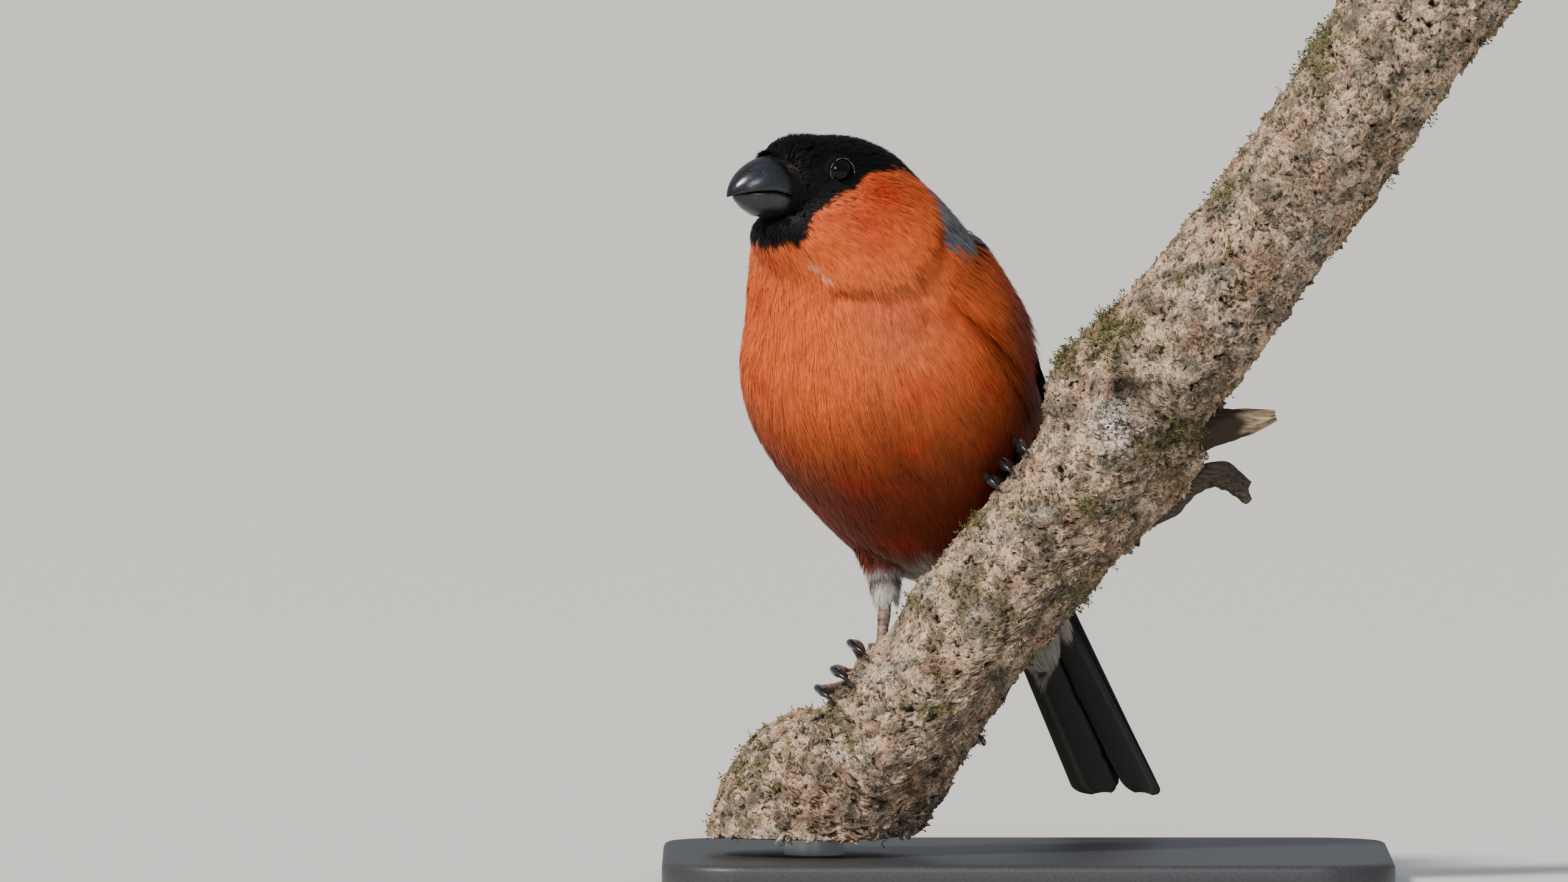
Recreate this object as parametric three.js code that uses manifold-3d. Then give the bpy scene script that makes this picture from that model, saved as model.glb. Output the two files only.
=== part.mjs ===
// A male Eurasian bullfinch perched on a sawn length of branch, carried by a plain display stand.
// Millimetres, +Z up. x runs to the viewer's right, y away from the viewer. The origin of the
// finished part is the middle of the stand's underside.
import * as THREE from "three";
import { mergeVertices } from "three/addons/utils/BufferGeometryUtils.js";
import Module from "manifold-3d";

const wasm = await Module();
wasm.setup();

// Clearance kept between pieces that touch, and how far a facet may be smoothed away.
const GAP = 0.3;
const FACET_TOLERANCE = 0.03;

// Places in the working frame, whose zero lies between the bird's breast and the branch.
const WORK_ORIGIN = new THREE.Vector3(40, 10, -74);
const BODY_PLACE = new THREE.Vector3(19.5, 17, 8);
const HEAD_PLACE = new THREE.Vector3(4.9, -2, 44.5);

// Pose: how far each part is turned to its right, and how steeply its axis rises.
const BODY_YAW = 30;
const BODY_PITCH = 50;
const TAIL_PITCH = 47;
const HEAD_YAW = 57;
const HEAD_PITCH = 3;

// Stations along the body's spine, in millimetres behind the middle of the head.
const HEAD_END = 11;
const NECK_END = 21;
const AROUND = 30;

// Eyes and bill, in the head's own directions from the midpoint between the eyes.
const EYE_RADIUS = 2.9;
const EYE_OUT = 6.3;
const LID_RADIUS = 2.35;
const LID_TUBE = 0.45;
const LID_OUT = 8.75;
const SOCKET_RADIUS = 6;
const SOCKET_OUT = 14.5;
const BILL_START = 5;
const BILL_TIP = 16.7;
const BILL_HALF_WIDTH = 5;
const LOWER_BILL_TIP = 15.6;
const NOSTRIL = { ahead: 9.8, up: 0.9, out: 3.4, radius: 0.65 };

// Wings: thickness of a vane, the step from one vane to the next, and the bed they lie in.
const VANE = 0.5;
const VANE_STEP = 0.8;
const VANE_WIDTH = 4.8;
const MOST_LAYERS = 2.6;
const WING_BED = 2.8;
const WING_TIP_FAN = 0.5;
const FLIGHT_COUNT = 12;
const TERTIALS = 3;
const SECONDARIES = 4;

// Tail: twelve feathers, six a side, the middle pair on top.
const TAIL_LENGTH = 61;
const TAIL_PAIRS = 6;
const TAIL_STEP = 0.8;
const TAIL_TOP = 5.8;

// Legs and toes.
const TARSUS_RADIUS = 1.05;
const TOE_HEIGHT = 1.5;
const PAD_ANGLE = 62;
const CLAW_SWEEP = 24;
const CLAW_ARCH = 3;

// Branch: it rises at this angle, and is sawn level at its foot.
const BRANCH_RISE = 52.3;
const PERCH_FOOT = -65;
const PERCH_AROUND = 20;
const PERCH_ROWS = 30;

// Stand.
const BASE = { width: 120, depth: 96, height: 6, corner: 14, bevel: 1 };
const ROD_RADIUS = 5;
const ROD_PLACE = new THREE.Vector3(5, 0, 0);
const SOCKET_DEPTH = 3;
const ROD_IN_PERCH = 12;

const { degToRad, lerp, clamp, smoothstep } = THREE.MathUtils;

// Directions of a part of the body: axis towards the head, dorsal towards the back, left.
function directions(yaw, pitch) {
  const ahead = new THREE.Vector3(-Math.sin(degToRad(yaw)), -Math.cos(degToRad(yaw)), 0);
  const up = new THREE.Vector3(0, 0, 1);
  const axis = ahead.clone().multiplyScalar(Math.cos(degToRad(pitch)));
  axis.addScaledVector(up, Math.sin(degToRad(pitch)));
  const dorsal = ahead.clone().multiplyScalar(-Math.sin(degToRad(pitch)));
  dorsal.addScaledVector(up, Math.cos(degToRad(pitch)));
  return { axis, dorsal, left: dorsal.clone().cross(axis) };
}

const BODY = directions(BODY_YAW, BODY_PITCH);
const TAIL = directions(BODY_YAW, TAIL_PITCH);
const HEAD = directions(HEAD_YAW, HEAD_PITCH);

function place(origin, frame, along, dorsal, left) {
  return origin.clone()
    .addScaledVector(frame.axis, along)
    .addScaledVector(frame.dorsal, dorsal)
    .addScaledVector(frame.left, left);
}

// Value at x on straight lines between [x, y] points.
function ramp(x, points) {
  if (x <= points[0][0]) return points[0][1];
  for (let i = 1; i < points.length; i += 1) {
    const [x0, y0] = points[i - 1];
    const [x1, y1] = points[i];
    if (x <= x1) return lerp(y0, y1, (x - x0) / (x1 - x0));
  }
  return points[points.length - 1][1];
}

// Solids from points and faces, turned so that the faces look out.
function solidFrom(points, faces) {
  const signed = faces.reduce(
    (sum, [a, b, c]) => sum + points[a].dot(points[b].clone().cross(points[c])), 0);
  const turned = signed < 0 ? faces.map(([a, b, c]) => [a, c, b]) : faces;
  return new wasm.Manifold(new wasm.Mesh({
    numProp: 3,
    vertProperties: Float32Array.from(points.flatMap((p) => [p.x, p.y, p.z])),
    triVerts: Uint32Array.from(turned.flat()),
  }));
}

function solidFromGeometry(geometry) {
  geometry.deleteAttribute("normal");
  geometry.deleteAttribute("uv");
  const merged = mergeVertices(geometry, 1e-4);
  const position = merged.getAttribute("position");
  const index = merged.getIndex().array;
  const points = [];
  for (let i = 0; i < position.count; i += 1) {
    points.push(new THREE.Vector3().fromBufferAttribute(position, i));
  }
  const faces = [];
  for (let i = 0; i < index.length; i += 3) {
    const [a, b, c] = [index[i], index[i + 1], index[i + 2]];
    if (a !== b && b !== c && c !== a) faces.push([a, b, c]);
  }
  return solidFrom(points, faces);
}

function ball(centre, radius, frame = null, scales = [1, 1, 1], across = 14, down = 8) {
  const geometry = new THREE.SphereGeometry(radius, across, down);
  const matrix = new THREE.Matrix4();
  if (frame) matrix.makeBasis(frame.axis, frame.dorsal, frame.left);
  matrix.scale(new THREE.Vector3(...scales));
  matrix.setPosition(centre);
  geometry.applyMatrix4(matrix);
  return solidFromGeometry(geometry);
}

function largest(solid) {
  const pieces = solid.decompose();
  return pieces.reduce((best, piece) => (piece.volume() > best.volume() ? piece : best));
}

function fused(pieces) {
  return largest(wasm.Manifold.union(pieces));
}

// A closed loft through rings of points. A ring of one point is a pole, an open end gets a flat cap.
function loft(rings) {
  const points = [];
  const starts = [];
  const capped = [...rings];
  const middle = (ring) => ring.reduce((sum, p) => sum.add(p), new THREE.Vector3())
    .divideScalar(ring.length);
  if (rings[0].length > 1) capped.unshift([middle(rings[0])]);
  if (rings[rings.length - 1].length > 1) capped.push([middle(rings[rings.length - 1])]);
  for (const ring of capped) {
    starts.push(points.length);
    points.push(...ring);
  }
  const faces = [];
  for (let i = 0; i + 1 < capped.length; i += 1) {
    const count = Math.max(capped[i].length, capped[i + 1].length);
    for (let j = 0; j < count; j += 1) {
      const a = starts[i] + (j % capped[i].length);
      const b = starts[i] + ((j + 1) % capped[i].length);
      const c = starts[i + 1] + (j % capped[i + 1].length);
      const d = starts[i + 1] + ((j + 1) % capped[i + 1].length);
      if (a !== b) faces.push([a, b, d]);
      if (c !== d) faces.push([a, d, c]);
    }
  }
  return solidFrom(points, faces);
}

// A thin closed sheet. point(u, v, face) gives the inner face at 0 and the outer face at 1,
// and both are split into triangles alike.
function sheet(columns, rows, point) {
  const points = [];
  const at = (face, i, j) => face * columns.length * rows.length + j * columns.length + i;
  for (const face of [0, 1]) {
    for (const v of rows) {
      for (const u of columns) points.push(point(u, v, face));
    }
  }
  const faces = [];
  const lastColumn = columns.length - 1;
  const lastRow = rows.length - 1;
  for (let i = 0; i < lastColumn; i += 1) {
    for (let j = 0; j < lastRow; j += 1) {
      faces.push([at(1, i, j), at(1, i + 1, j), at(1, i + 1, j + 1)]);
      faces.push([at(1, i, j), at(1, i + 1, j + 1), at(1, i, j + 1)]);
      faces.push([at(0, i, j), at(0, i + 1, j + 1), at(0, i + 1, j)]);
      faces.push([at(0, i, j), at(0, i, j + 1), at(0, i + 1, j + 1)]);
    }
  }
  const rim = [];
  for (let i = 0; i < lastColumn; i += 1) rim.push([i, 0]);
  for (let j = 0; j < lastRow; j += 1) rim.push([lastColumn, j]);
  for (let i = lastColumn; i > 0; i -= 1) rim.push([i, lastRow]);
  for (let j = lastRow; j > 0; j -= 1) rim.push([0, j]);
  rim.forEach(([i, j], index) => {
    const [m, n] = rim[(index + 1) % rim.length];
    faces.push([at(1, i, j), at(0, i, j), at(0, m, n)]);
    faces.push([at(1, i, j), at(0, m, n), at(1, m, n)]);
  });
  return solidFrom(points, faces);
}

// A round tube of changing radius along a curve, closed at both ends.
function tube(curve, radii, sides, rows) {
  const up = Math.abs(curve.getTangentAt(0.5).y) > 0.9
    ? new THREE.Vector3(0, 0, 1) : new THREE.Vector3(0, 1, 0);
  const rings = [];
  for (let j = 0; j <= rows; j += 1) {
    const middle = curve.getPointAt(j / rows);
    const ahead = curve.getTangentAt(j / rows);
    const side = up.clone().cross(ahead).normalize();
    const over = ahead.clone().cross(side);
    const radius = ramp(j / rows, radii);
    const ring = [];
    for (let i = 0; i < sides; i += 1) {
      const turn = (i / sides) * 2 * Math.PI;
      ring.push(middle.clone()
        .addScaledVector(side, radius * Math.cos(turn))
        .addScaledVector(over, radius * Math.sin(turn)));
    }
    rings.push(ring);
  }
  return loft(rings);
}

// The bird's form is a smooth blend of egg shapes, each set in its part's own directions.
const TAIL_ROOT = place(BODY_PLACE, BODY, -36, 7, 0);

function egg(origin, frame, along, dorsal, left, radii, blend) {
  return { centre: place(origin, frame, along, dorsal, left), frame, radii, blend };
}

const FLESH = [
  egg(BODY_PLACE, BODY, 4.5, -3.6, -0.1, [26, 20.3, 24.3], 7),
  egg(BODY_PLACE, BODY, -12, -1.5, -0.4, [25, 18, 20.6], 7),
  egg(BODY_PLACE, BODY, 2, 5.5, 0, [34, 15.5, 18.5], 7),
  egg(BODY_PLACE, BODY, -30, 4.5, 0, [21, 9.5, 13], 8),
  egg(BODY_PLACE, BODY, 24, 2.5, -0.3, [18, 16, 18.6], 7),
  egg(HEAD_PLACE, HEAD, -6.5, -9, 0, [13.5, 10.6, 13], 5),
  egg(HEAD_PLACE, HEAD, -4, -2.4, 0, [13.8, 8.6, 10.2], 3),
  egg(HEAD_PLACE, HEAD, 3.8, -1.6, 0, [6.8, 6.9, 8], 3),
  egg(HEAD_PLACE, HEAD, -5.5, -7, 4.5, [9.5, 7.5, 7.8], 3),
  egg(HEAD_PLACE, HEAD, -5.5, -7, -4.5, [9.5, 7.5, 7.8], 3),
  egg(HEAD_PLACE, HEAD, 2.6, -10, 0, [7.5, 6.5, 8.6], 4),
  egg(TAIL_ROOT, TAIL, -10, -3.2, 0, [22, 4.2, 7.4], 7),
];

// The wings also lie over the root of the tail.
const WING_SUPPORT = [...FLESH, egg(TAIL_ROOT, TAIL, -14, 2.4, 0, [34, 5.2, 9.5], 6)];

// Distance from the blend's surface, negative inside.
function outside(point, eggs) {
  let out = null;
  for (const { centre, frame, radii, blend } of eggs) {
    const offset = point.clone().sub(centre);
    const parts = [offset.dot(frame.axis), offset.dot(frame.dorsal), offset.dot(frame.left)];
    const near = Math.hypot(...parts.map((part, i) => part / radii[i]));
    const steep = Math.hypot(...parts.map((part, i) => part / radii[i] ** 2));
    const distance = (near * (near - 1)) / Math.max(steep, 1e-9);
    if (out === null) {
      out = distance;
    } else {
      const mix = Math.max(blend - Math.abs(out - distance), 0) / blend;
      out = Math.min(out, distance) - mix * mix * blend * 0.25;
    }
  }
  return out;
}

// The spine is a shallow arc from the middle of the head through the torso to the tail.
const SPINE_START = place(HEAD_PLACE, HEAD, -3.5, -3, 0);
const SPINE_END = place(TAIL_ROOT, TAIL, -14, -3.4, 0);
const SPINE_BEND = place(BODY_PLACE, BODY, 0, 1, 0).multiplyScalar(2)
  .addScaledVector(SPINE_START, -0.5)
  .addScaledVector(SPINE_END, -0.5);
const SPINE = new THREE.QuadraticBezierCurve3(SPINE_START, SPINE_BEND, SPINE_END);
const SPINE_LENGTH = SPINE.getLength();

function spineFrame(t) {
  const within = clamp(t, 0, 1);
  const axis = SPINE_BEND.clone().sub(SPINE_START).multiplyScalar(1 - within)
    .addScaledVector(SPINE_END.clone().sub(SPINE_BEND), within).normalize().negate();
  const left = HEAD.left.clone().lerp(BODY.left, smoothstep(t, 0, 0.625));
  left.addScaledVector(axis, -left.dot(axis)).normalize();
  return { axis, left, dorsal: axis.clone().cross(left) };
}

// The bed that each folded wing lies in: how far the coat is pressed down there.
function wingBed(mm, angle) {
  const across = smoothstep(angle, 4, 16) * (1 - smoothstep(angle, 70, 84));
  const along = smoothstep(mm, 24, 34) * (1 - smoothstep(mm, 76, 92));
  return WING_BED * across * along;
}

// A point on the form, seen from the spine: mm back from the head, degrees from the back.
function formPoint(mm, angle, grow, eggs = FLESH, lean = 0) {
  const t = mm / SPINE_LENGTH;
  const { axis, dorsal, left } = spineFrame(t);
  const start = SPINE.getPoint(t);
  const ray = dorsal.clone().multiplyScalar(Math.cos(degToRad(angle)))
    .addScaledVector(left, Math.sin(degToRad(angle)))
    .multiplyScalar(Math.cos(degToRad(lean)))
    .addScaledVector(axis, Math.sin(degToRad(lean)));
  const signedAngle = ((angle + 180) % 360) - 180;
  const level = grow - wingBed(mm, Math.abs(signedAngle)) * Math.cos(degToRad(lean));
  const probe = (far) => outside(start.clone().addScaledVector(ray, far), eggs) < level;
  let near = 0;
  let far = 1;
  while (far < 60 && probe(far)) {
    near = far;
    far += 1;
  }
  for (let i = 0; i < 18; i += 1) {
    const half = (near + far) / 2;
    if (probe(half)) near = half;
    else far = half;
  }
  return start.addScaledVector(ray, (near + far) / 2);
}

function formRing(mm, grow, lean = 0) {
  if (Math.abs(lean) === 90) return [formPoint(mm, 0, grow, FLESH, lean)];
  const ring = [];
  for (let i = 0; i < AROUND; i += 1) ring.push(formPoint(mm, (360 * i) / AROUND, grow, FLESH, lean));
  return ring;
}

// Rings over the crown, along the spine and round the end under the tail.
function crownRings(grow) {
  const rings = [];
  for (let lean = 90; lean > 0; lean -= 9) rings.push(formRing(0, grow, lean));
  return rings;
}

function middleRings(from, to, step, grow) {
  const count = Math.max(1, Math.round((to - from) / step));
  const rings = [];
  for (let i = 0; i <= count; i += 1) rings.push(formRing(lerp(from, to, i / count), grow));
  return rings;
}

function endRings(grow) {
  return [-30, -60, -90].map((lean) => formRing(SPINE_LENGTH, grow, lean));
}

function wholeForm(grow) {
  return loft([
    ...crownRings(grow),
    ...middleRings(0, SPINE_LENGTH, 3, grow),
    ...endRings(grow),
  ]);
}

const FORM_CUTTER = wholeForm(GAP);

// Head with its sockets and lids.
function head() {
  const skull = loft([...crownRings(0), ...middleRings(0, HEAD_END, 2.2, 0)]);
  const bowls = [1, -1].map((side) => ball(place(HEAD_PLACE, HEAD, 0, 0, SOCKET_OUT * side),
    SOCKET_RADIUS));
  const lids = [1, -1].map((side) => {
    const ring = new THREE.TorusGeometry(LID_RADIUS, LID_TUBE, 4, 14);
    const matrix = new THREE.Matrix4().makeBasis(HEAD.axis, HEAD.dorsal, HEAD.left.clone().negate());
    matrix.setPosition(place(HEAD_PLACE, HEAD, 0, 0, LID_OUT * side));
    ring.applyMatrix4(matrix);
    return solidFromGeometry(ring);
  });
  const eyes = [1, -1].map((side) => eyeball(side, GAP));
  return largest(fused([skull.subtract(wasm.Manifold.union(bowls)), ...lids])
    .subtract(wasm.Manifold.union(eyes)));
}

function eyeball(side, grow) {
  return ball(place(HEAD_PLACE, HEAD, 0, 0, EYE_OUT * side), EYE_RADIUS + grow, HEAD);
}

function neck() {
  return loft(middleRings(HEAD_END + GAP, NECK_END, 3, 0));
}

function torso() {
  return loft([...middleRings(NECK_END + GAP, SPINE_LENGTH, 3.4, 0), ...endRings(0)]);
}

// Bill: the ridge of the upper half, the line of the mouth and the keel of the lower half.
function billRidge(ahead) {
  const s = clamp((ahead - BILL_START) / (BILL_TIP - BILL_START), 0, 1);
  return -5 + 7.6 * (1 - s ** 2.3) ** 0.6;
}

function mouthLine(ahead) {
  return ramp(ahead, [[5, -4.5], [7, -4.2], [10, -3.6], [13, -3.8], [15.5, -4.35], [16.7, -5]]);
}

function billKeel(ahead) {
  return ramp(ahead, [[5, -8.2], [8, -8.2], [11.4, -7.9], [13.4, -6.9], [15, -5.6], [15.6, -4.9]]);
}

function billHalfWidth(ahead, tip, widest) {
  const s = clamp((ahead - BILL_START) / (tip - BILL_START), 0, 1);
  return widest * (1 - s ** 2.4) ** 0.7;
}

// One half of the bill: rounded outside, flat along the mouth.
function billHalf(tip, widest, outerLine, mouth) {
  const steps = [0, 0.2, 0.36, 0.5, 0.63, 0.75, 0.85, 0.93, 0.98];
  const sides = 8;
  const rings = steps.map((step) => {
    const ahead = lerp(BILL_START, tip, step);
    const half = billHalfWidth(ahead, tip, widest);
    const ring = [];
    for (let i = 0; i <= sides; i += 1) {
      const turn = (Math.PI * i) / sides;
      const rise = Math.sin(turn) ** 0.8 * (outerLine(ahead) - mouth(ahead));
      ring.push(place(HEAD_PLACE, HEAD, ahead, mouth(ahead) + rise, half * Math.cos(turn)));
    }
    return ring;
  });
  rings.push([place(HEAD_PLACE, HEAD, tip, mouth(tip), 0)]);
  return loft(rings);
}

function upperBill() {
  const half = billHalf(BILL_TIP, BILL_HALF_WIDTH, billRidge, mouthLine);
  const nostrils = [1, -1].map((side) => ball(
    place(HEAD_PLACE, HEAD, NOSTRIL.ahead, NOSTRIL.up, NOSTRIL.out * side),
    NOSTRIL.radius, HEAD, [1.3, 1, 1], 10, 6));
  return largest(half.subtract(FORM_CUTTER).subtract(wasm.Manifold.union(nostrils)));
}

function lowerBill() {
  const lowered = (ahead) => mouthLine(ahead) - GAP;
  const half = billHalf(LOWER_BILL_TIP, BILL_HALF_WIDTH - 0.3, billKeel, lowered);
  return largest(half.subtract(FORM_CUTTER));
}

// Wings: the upper and lower edge of the folded wing, as degrees from the back along the spine.
function wingEdges(mm) {
  return {
    upper: ramp(mm, [[26, 24], [44, 13], [78, 11], [104, 11]]),
    lower: ramp(mm, [[26, 58], [36, 69], [50, 75], [78, 66], [104, 50]]),
  };
}

function wingRadius(mm, side) {
  const surface = formPoint(mm, 45 * side, 0, WING_SUPPORT);
  return surface.distanceTo(SPINE.getPoint(mm / SPINE_LENGTH));
}

// A feather narrows at its root and rounds off at its tip.
function vaneShape(v, tipStart) {
  const root = Math.min(1, 0.45 + 1.6 * v);
  const over = clamp((v - tipStart) / (1 - tipStart), 0, 1);
  return root * Math.sqrt(Math.max(1 - over * over, 0.03));
}

// One vane on the wing: its lower edge follows share of the wing's breadth, its upper edge is
// hidden under the next vane, and lift gives its height over the bed at root and tip.
function wingVane(side, vane) {
  const { share, count, fan, rootMm, tipMm, width, rootLift, tipLift, tipStart, rows } = vane;
  const point = (u, v, face) => {
    const mm = lerp(rootMm, tipMm, v);
    const { upper, lower } = wingEdges(mm);
    const radius = wingRadius(mm, side);
    const spread = fan * smoothstep(mm, 62, 96);
    const gapAngle = (lower - upper) / (count * (1 - spread));
    const spacing = radius * degToRad(gapAngle);
    const breadth = Math.min(width, MOST_LAYERS * spacing);
    const shape = vaneShape(v, tipStart);
    const inset = ((1 - shape) / 2) * breadth;
    const fromLower = lerp(breadth - inset, inset, u);
    const edge = lerp(upper, lower, (share - spread) / (1 - spread));
    const angle = Math.max(edge - (fromLower / radius) * (180 / Math.PI), upper - 4);
    const fall = (VANE_STEP * (edge - angle)) / gapAngle;
    const top = lerp(rootLift, tipLift, smoothstep(v, 0, 0.35)) + (VANE_STEP * breadth) / spacing;
    const thick = VANE * (v === 1 ? 0.5 : 1);
    return formPoint(mm, angle * side, top - fall + face * thick, WING_SUPPORT);
  };
  return sheet([0, 1], rows, point);
}

// Flight feathers, from the innermost tertial to the outermost primary.
function flightVanes(side) {
  const vanes = [];
  for (let i = 0; i < FLIGHT_COUNT; i += 1) {
    const primary = i - TERTIALS - SECONDARIES;
    const secondary = i - TERTIALS;
    let rootMm = 50 - i;
    let tipMm = 70 + 3 * i;
    if (secondary >= 0) {
      rootMm = 46 - secondary * 0.6;
      tipMm = 79 + secondary * 0.8;
    }
    if (primary >= 0) {
      rootMm = 42 - primary;
      tipMm = [86, 92, 98, 102, 97][primary];
    }
    vanes.push(wingVane(side, {
      share: (i + 1) / FLIGHT_COUNT,
      count: FLIGHT_COUNT,
      fan: primary >= 0 ? WING_TIP_FAN : 0,
      rootMm,
      tipMm,
      width: VANE_WIDTH,
      rootLift: 0.1,
      tipLift: 0.55,
      tipStart: primary >= 0 ? 0.86 : 0.78,
      rows: primary >= 0 ? [0, 0.2, 0.42, 0.64, 0.84, 0.95, 1] : [0, 0.25, 0.55, 0.85, 1],
    }));
  }
  return vanes;
}

// Covert tiers lie over the roots of the flight feathers like tiles.
const COVERT_TIERS = [
  { count: 7, rootMm: 41, tipMm: 54, rootLift: 0.5, tipLift: 2.8 },
  { count: 6, rootMm: 35, tipMm: 45, rootLift: 0.5, tipLift: 2.6 },
  { count: 6, rootMm: 29.5, tipMm: 38, rootLift: 0.4, tipLift: 2.1 },
];

function covertVanes(side) {
  const vanes = [];
  for (const { count, ...tier } of COVERT_TIERS) {
    for (let i = 0; i < count; i += 1) {
      vanes.push(wingVane(side, {
        ...tier,
        share: (i + 1) / count,
        count,
        fan: 0,
        tipMm: tier.tipMm + Math.sin(i * 2.1) * 0.7,
        width: 4.2,
        tipStart: 0.5,
        rows: [0, 0.45, 0.82, 1],
      }));
    }
  }
  for (let i = 0; i < 2; i += 1) {
    vanes.push(wingVane(side, {
      share: 0.92 + 0.07 * i,
      count: 12,
      fan: 0,
      rootMm: 35,
      tipMm: 58 - 3 * i,
      width: 3.4,
      rootLift: 0.75,
      tipLift: 1.9,
      tipStart: 0.7,
      rows: [0, 0.35, 0.7, 0.9, 1],
    }));
  }
  return vanes;
}

// The flesh of the folded wing, in which every vane is rooted.
function wingCore(side) {
  const point = (u, v, face) => {
    const mm = lerp(28, 54, v);
    const { upper, lower } = wingEdges(mm);
    const angle = lerp(upper + 1, lower - 1.5, u);
    const thick = ramp(mm, [[28, 1.1], [34, 1.8], [45, 1.8], [54, 0.9]]);
    return formPoint(mm, angle * side, face ? thick : GAP + 0.1, WING_SUPPORT);
  };
  return sheet([0, 0.33, 0.67, 1], [0, 0.25, 0.5, 0.75, 1], point);
}

function wing(side) {
  const whole = fused([wingCore(side), ...flightVanes(side), ...covertVanes(side)]);
  return largest(whole.subtract(FORM_CUTTER));
}

// Tail: each side's vanes meet at the midline, the outer ones lower, longer and further out.
function tailVane(pair, side) {
  const length = TAIL_LENGTH + 0.5 * pair;
  const height = TAIL_TOP - TAIL_STEP * pair;
  const point = (u, v, face) => {
    const outer = lerp(4 + 0.4 * pair, 4.3 + 0.85 * pair, v);
    const inner = Math.max(outer - 8, GAP / 2);
    const over = clamp((v - 0.93) / 0.07, 0, 1);
    const narrow = (1 - Math.sqrt(Math.max(1 - over * over, 0.05))) * 0.5;
    const across = lerp(lerp(inner, outer, narrow * 0.8), lerp(inner, outer, 1 - narrow), u);
    const thick = VANE * (v === 1 ? 0.6 : 1);
    const droop = 0.018 * across * across;
    return place(TAIL_ROOT, TAIL, -lerp(6, length, v), height - droop + face * thick, across * side);
  };
  return sheet([0, 1], [0, 0.3, 0.62, 0.92, 0.975, 1], point);
}

function tail() {
  const core = ball(place(TAIL_ROOT, TAIL, -12, 3.7, 0), 1, TAIL, [10, 3, 6.2], 14, 8);
  const pieces = [core];
  for (let pair = 0; pair < TAIL_PAIRS; pair += 1) {
    pieces.push(tailVane(pair, 1), tailVane(pair, -1));
  }
  return largest(fused(pieces).subtract(FORM_CUTTER));
}

// Branch: its centre line in the plane y = 0, and its radius at the same points.
const PERCH_LINE = [
  { x: 4, z: -76, radius: 16.3 },
  { x: 4.2, z: -66, radius: 16.6 },
  { x: 8, z: -58.5, radius: 15.6 },
  { x: 16, z: -51.5, radius: 12.4 },
  { x: 28.1, z: -34.3, radius: 11.5 },
  { x: 40.6, z: -18.8, radius: 11.3 },
  { x: 51.9, z: -4.7, radius: 12 },
  { x: 57.3, z: 6.2, radius: 13.4 },
  { x: 64.5, z: 15.8, radius: 12 },
  { x: 78.5, z: 34, radius: 11.1 },
  { x: 91, z: 50.8, radius: 11.4 },
  { x: 103.4, z: 68.9, radius: 11.8 },
  { x: 113.1, z: 81.6, radius: 12 },
];
const PERCH_CURVE = new THREE.CatmullRomCurve3(
  PERCH_LINE.map(({ x, z }) => new THREE.Vector3(x, 0, z)), false, "catmullrom", 0.5);
const PERCH_DIRECTION = new THREE.Vector3(
  Math.cos(degToRad(BRANCH_RISE)), 0, Math.sin(degToRad(BRANCH_RISE)));

// Swellings: along the curve's own parameter, degrees round from the upper side, height and reach.
const SWELLINGS = [
  { at: 0.585, round: -88, height: 2.2, reach: 5 },
  { at: 0.545, round: 168, height: 2.4, reach: 5.5 },
  { at: 0.56, round: 20, height: 1.3, reach: 5 },
  { at: 0.16, round: 35, height: 1.6, reach: 8 },
  { at: 0.31, round: -120, height: 0.9, reach: 7 },
  { at: 0.8, round: -60, height: 0.8, reach: 6 },
];

function perchRadius(t, angle) {
  const stations = PERCH_LINE.map(({ radius }, i) => [i / (PERCH_LINE.length - 1), radius]);
  let radius = ramp(t, stations);
  const turn = degToRad(angle);
  radius += 0.35 * Math.sin(3 * turn + 23 * t) + 0.25 * Math.sin(5 * turn - 41 * t + 1);
  const middle = PERCH_CURVE.getPoint(t);
  for (const { at, round, height, reach } of SWELLINGS) {
    const along = PERCH_CURVE.getPoint(at).distanceTo(middle);
    const apart = Math.abs(((angle - round + 540) % 360) - 180);
    const across = degToRad(apart) * radius;
    radius += height * Math.exp(-(along * along + across * across) / (2 * reach * reach));
  }
  return radius;
}

// A point over the bark: angle 0 is the upper side, 90 the far side.
function perchPoint(t, angle, height) {
  const ahead = PERCH_CURVE.getTangent(t);
  const upper = new THREE.Vector3(-ahead.z, 0, ahead.x);
  const reach = perchRadius(t, angle) + height;
  return PERCH_CURVE.getPoint(t)
    .addScaledVector(upper, reach * Math.cos(degToRad(angle)))
    .add(new THREE.Vector3(0, reach * Math.sin(degToRad(angle)), 0));
}

function perchForm(grow) {
  const rings = [];
  for (let j = 0; j <= PERCH_ROWS; j += 1) {
    const ring = [];
    for (let i = 0; i < PERCH_AROUND; i += 1) {
      ring.push(perchPoint(j / PERCH_ROWS, (360 * i) / PERCH_AROUND, grow));
    }
    rings.push(ring);
  }
  return loft(rings);
}

const PERCH_CUTTER = perchForm(GAP);

function rodSolid(radius, from, to) {
  const geometry = new THREE.CylinderGeometry(radius, radius, to - from, 24);
  geometry.rotateX(Math.PI / 2);
  geometry.translate(ROD_PLACE.x, ROD_PLACE.y, (from + to) / 2);
  return solidFromGeometry(geometry);
}

function perch() {
  const below = new THREE.BoxGeometry(80, 80, 40);
  below.translate(ROD_PLACE.x, 0, PERCH_FOOT - 20);
  const bore = rodSolid(ROD_RADIUS + GAP, PERCH_FOOT - 1, PERCH_FOOT + ROD_IN_PERCH + GAP);
  return largest(perchForm(0).subtract(solidFromGeometry(below)).subtract(bore));
}

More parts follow.
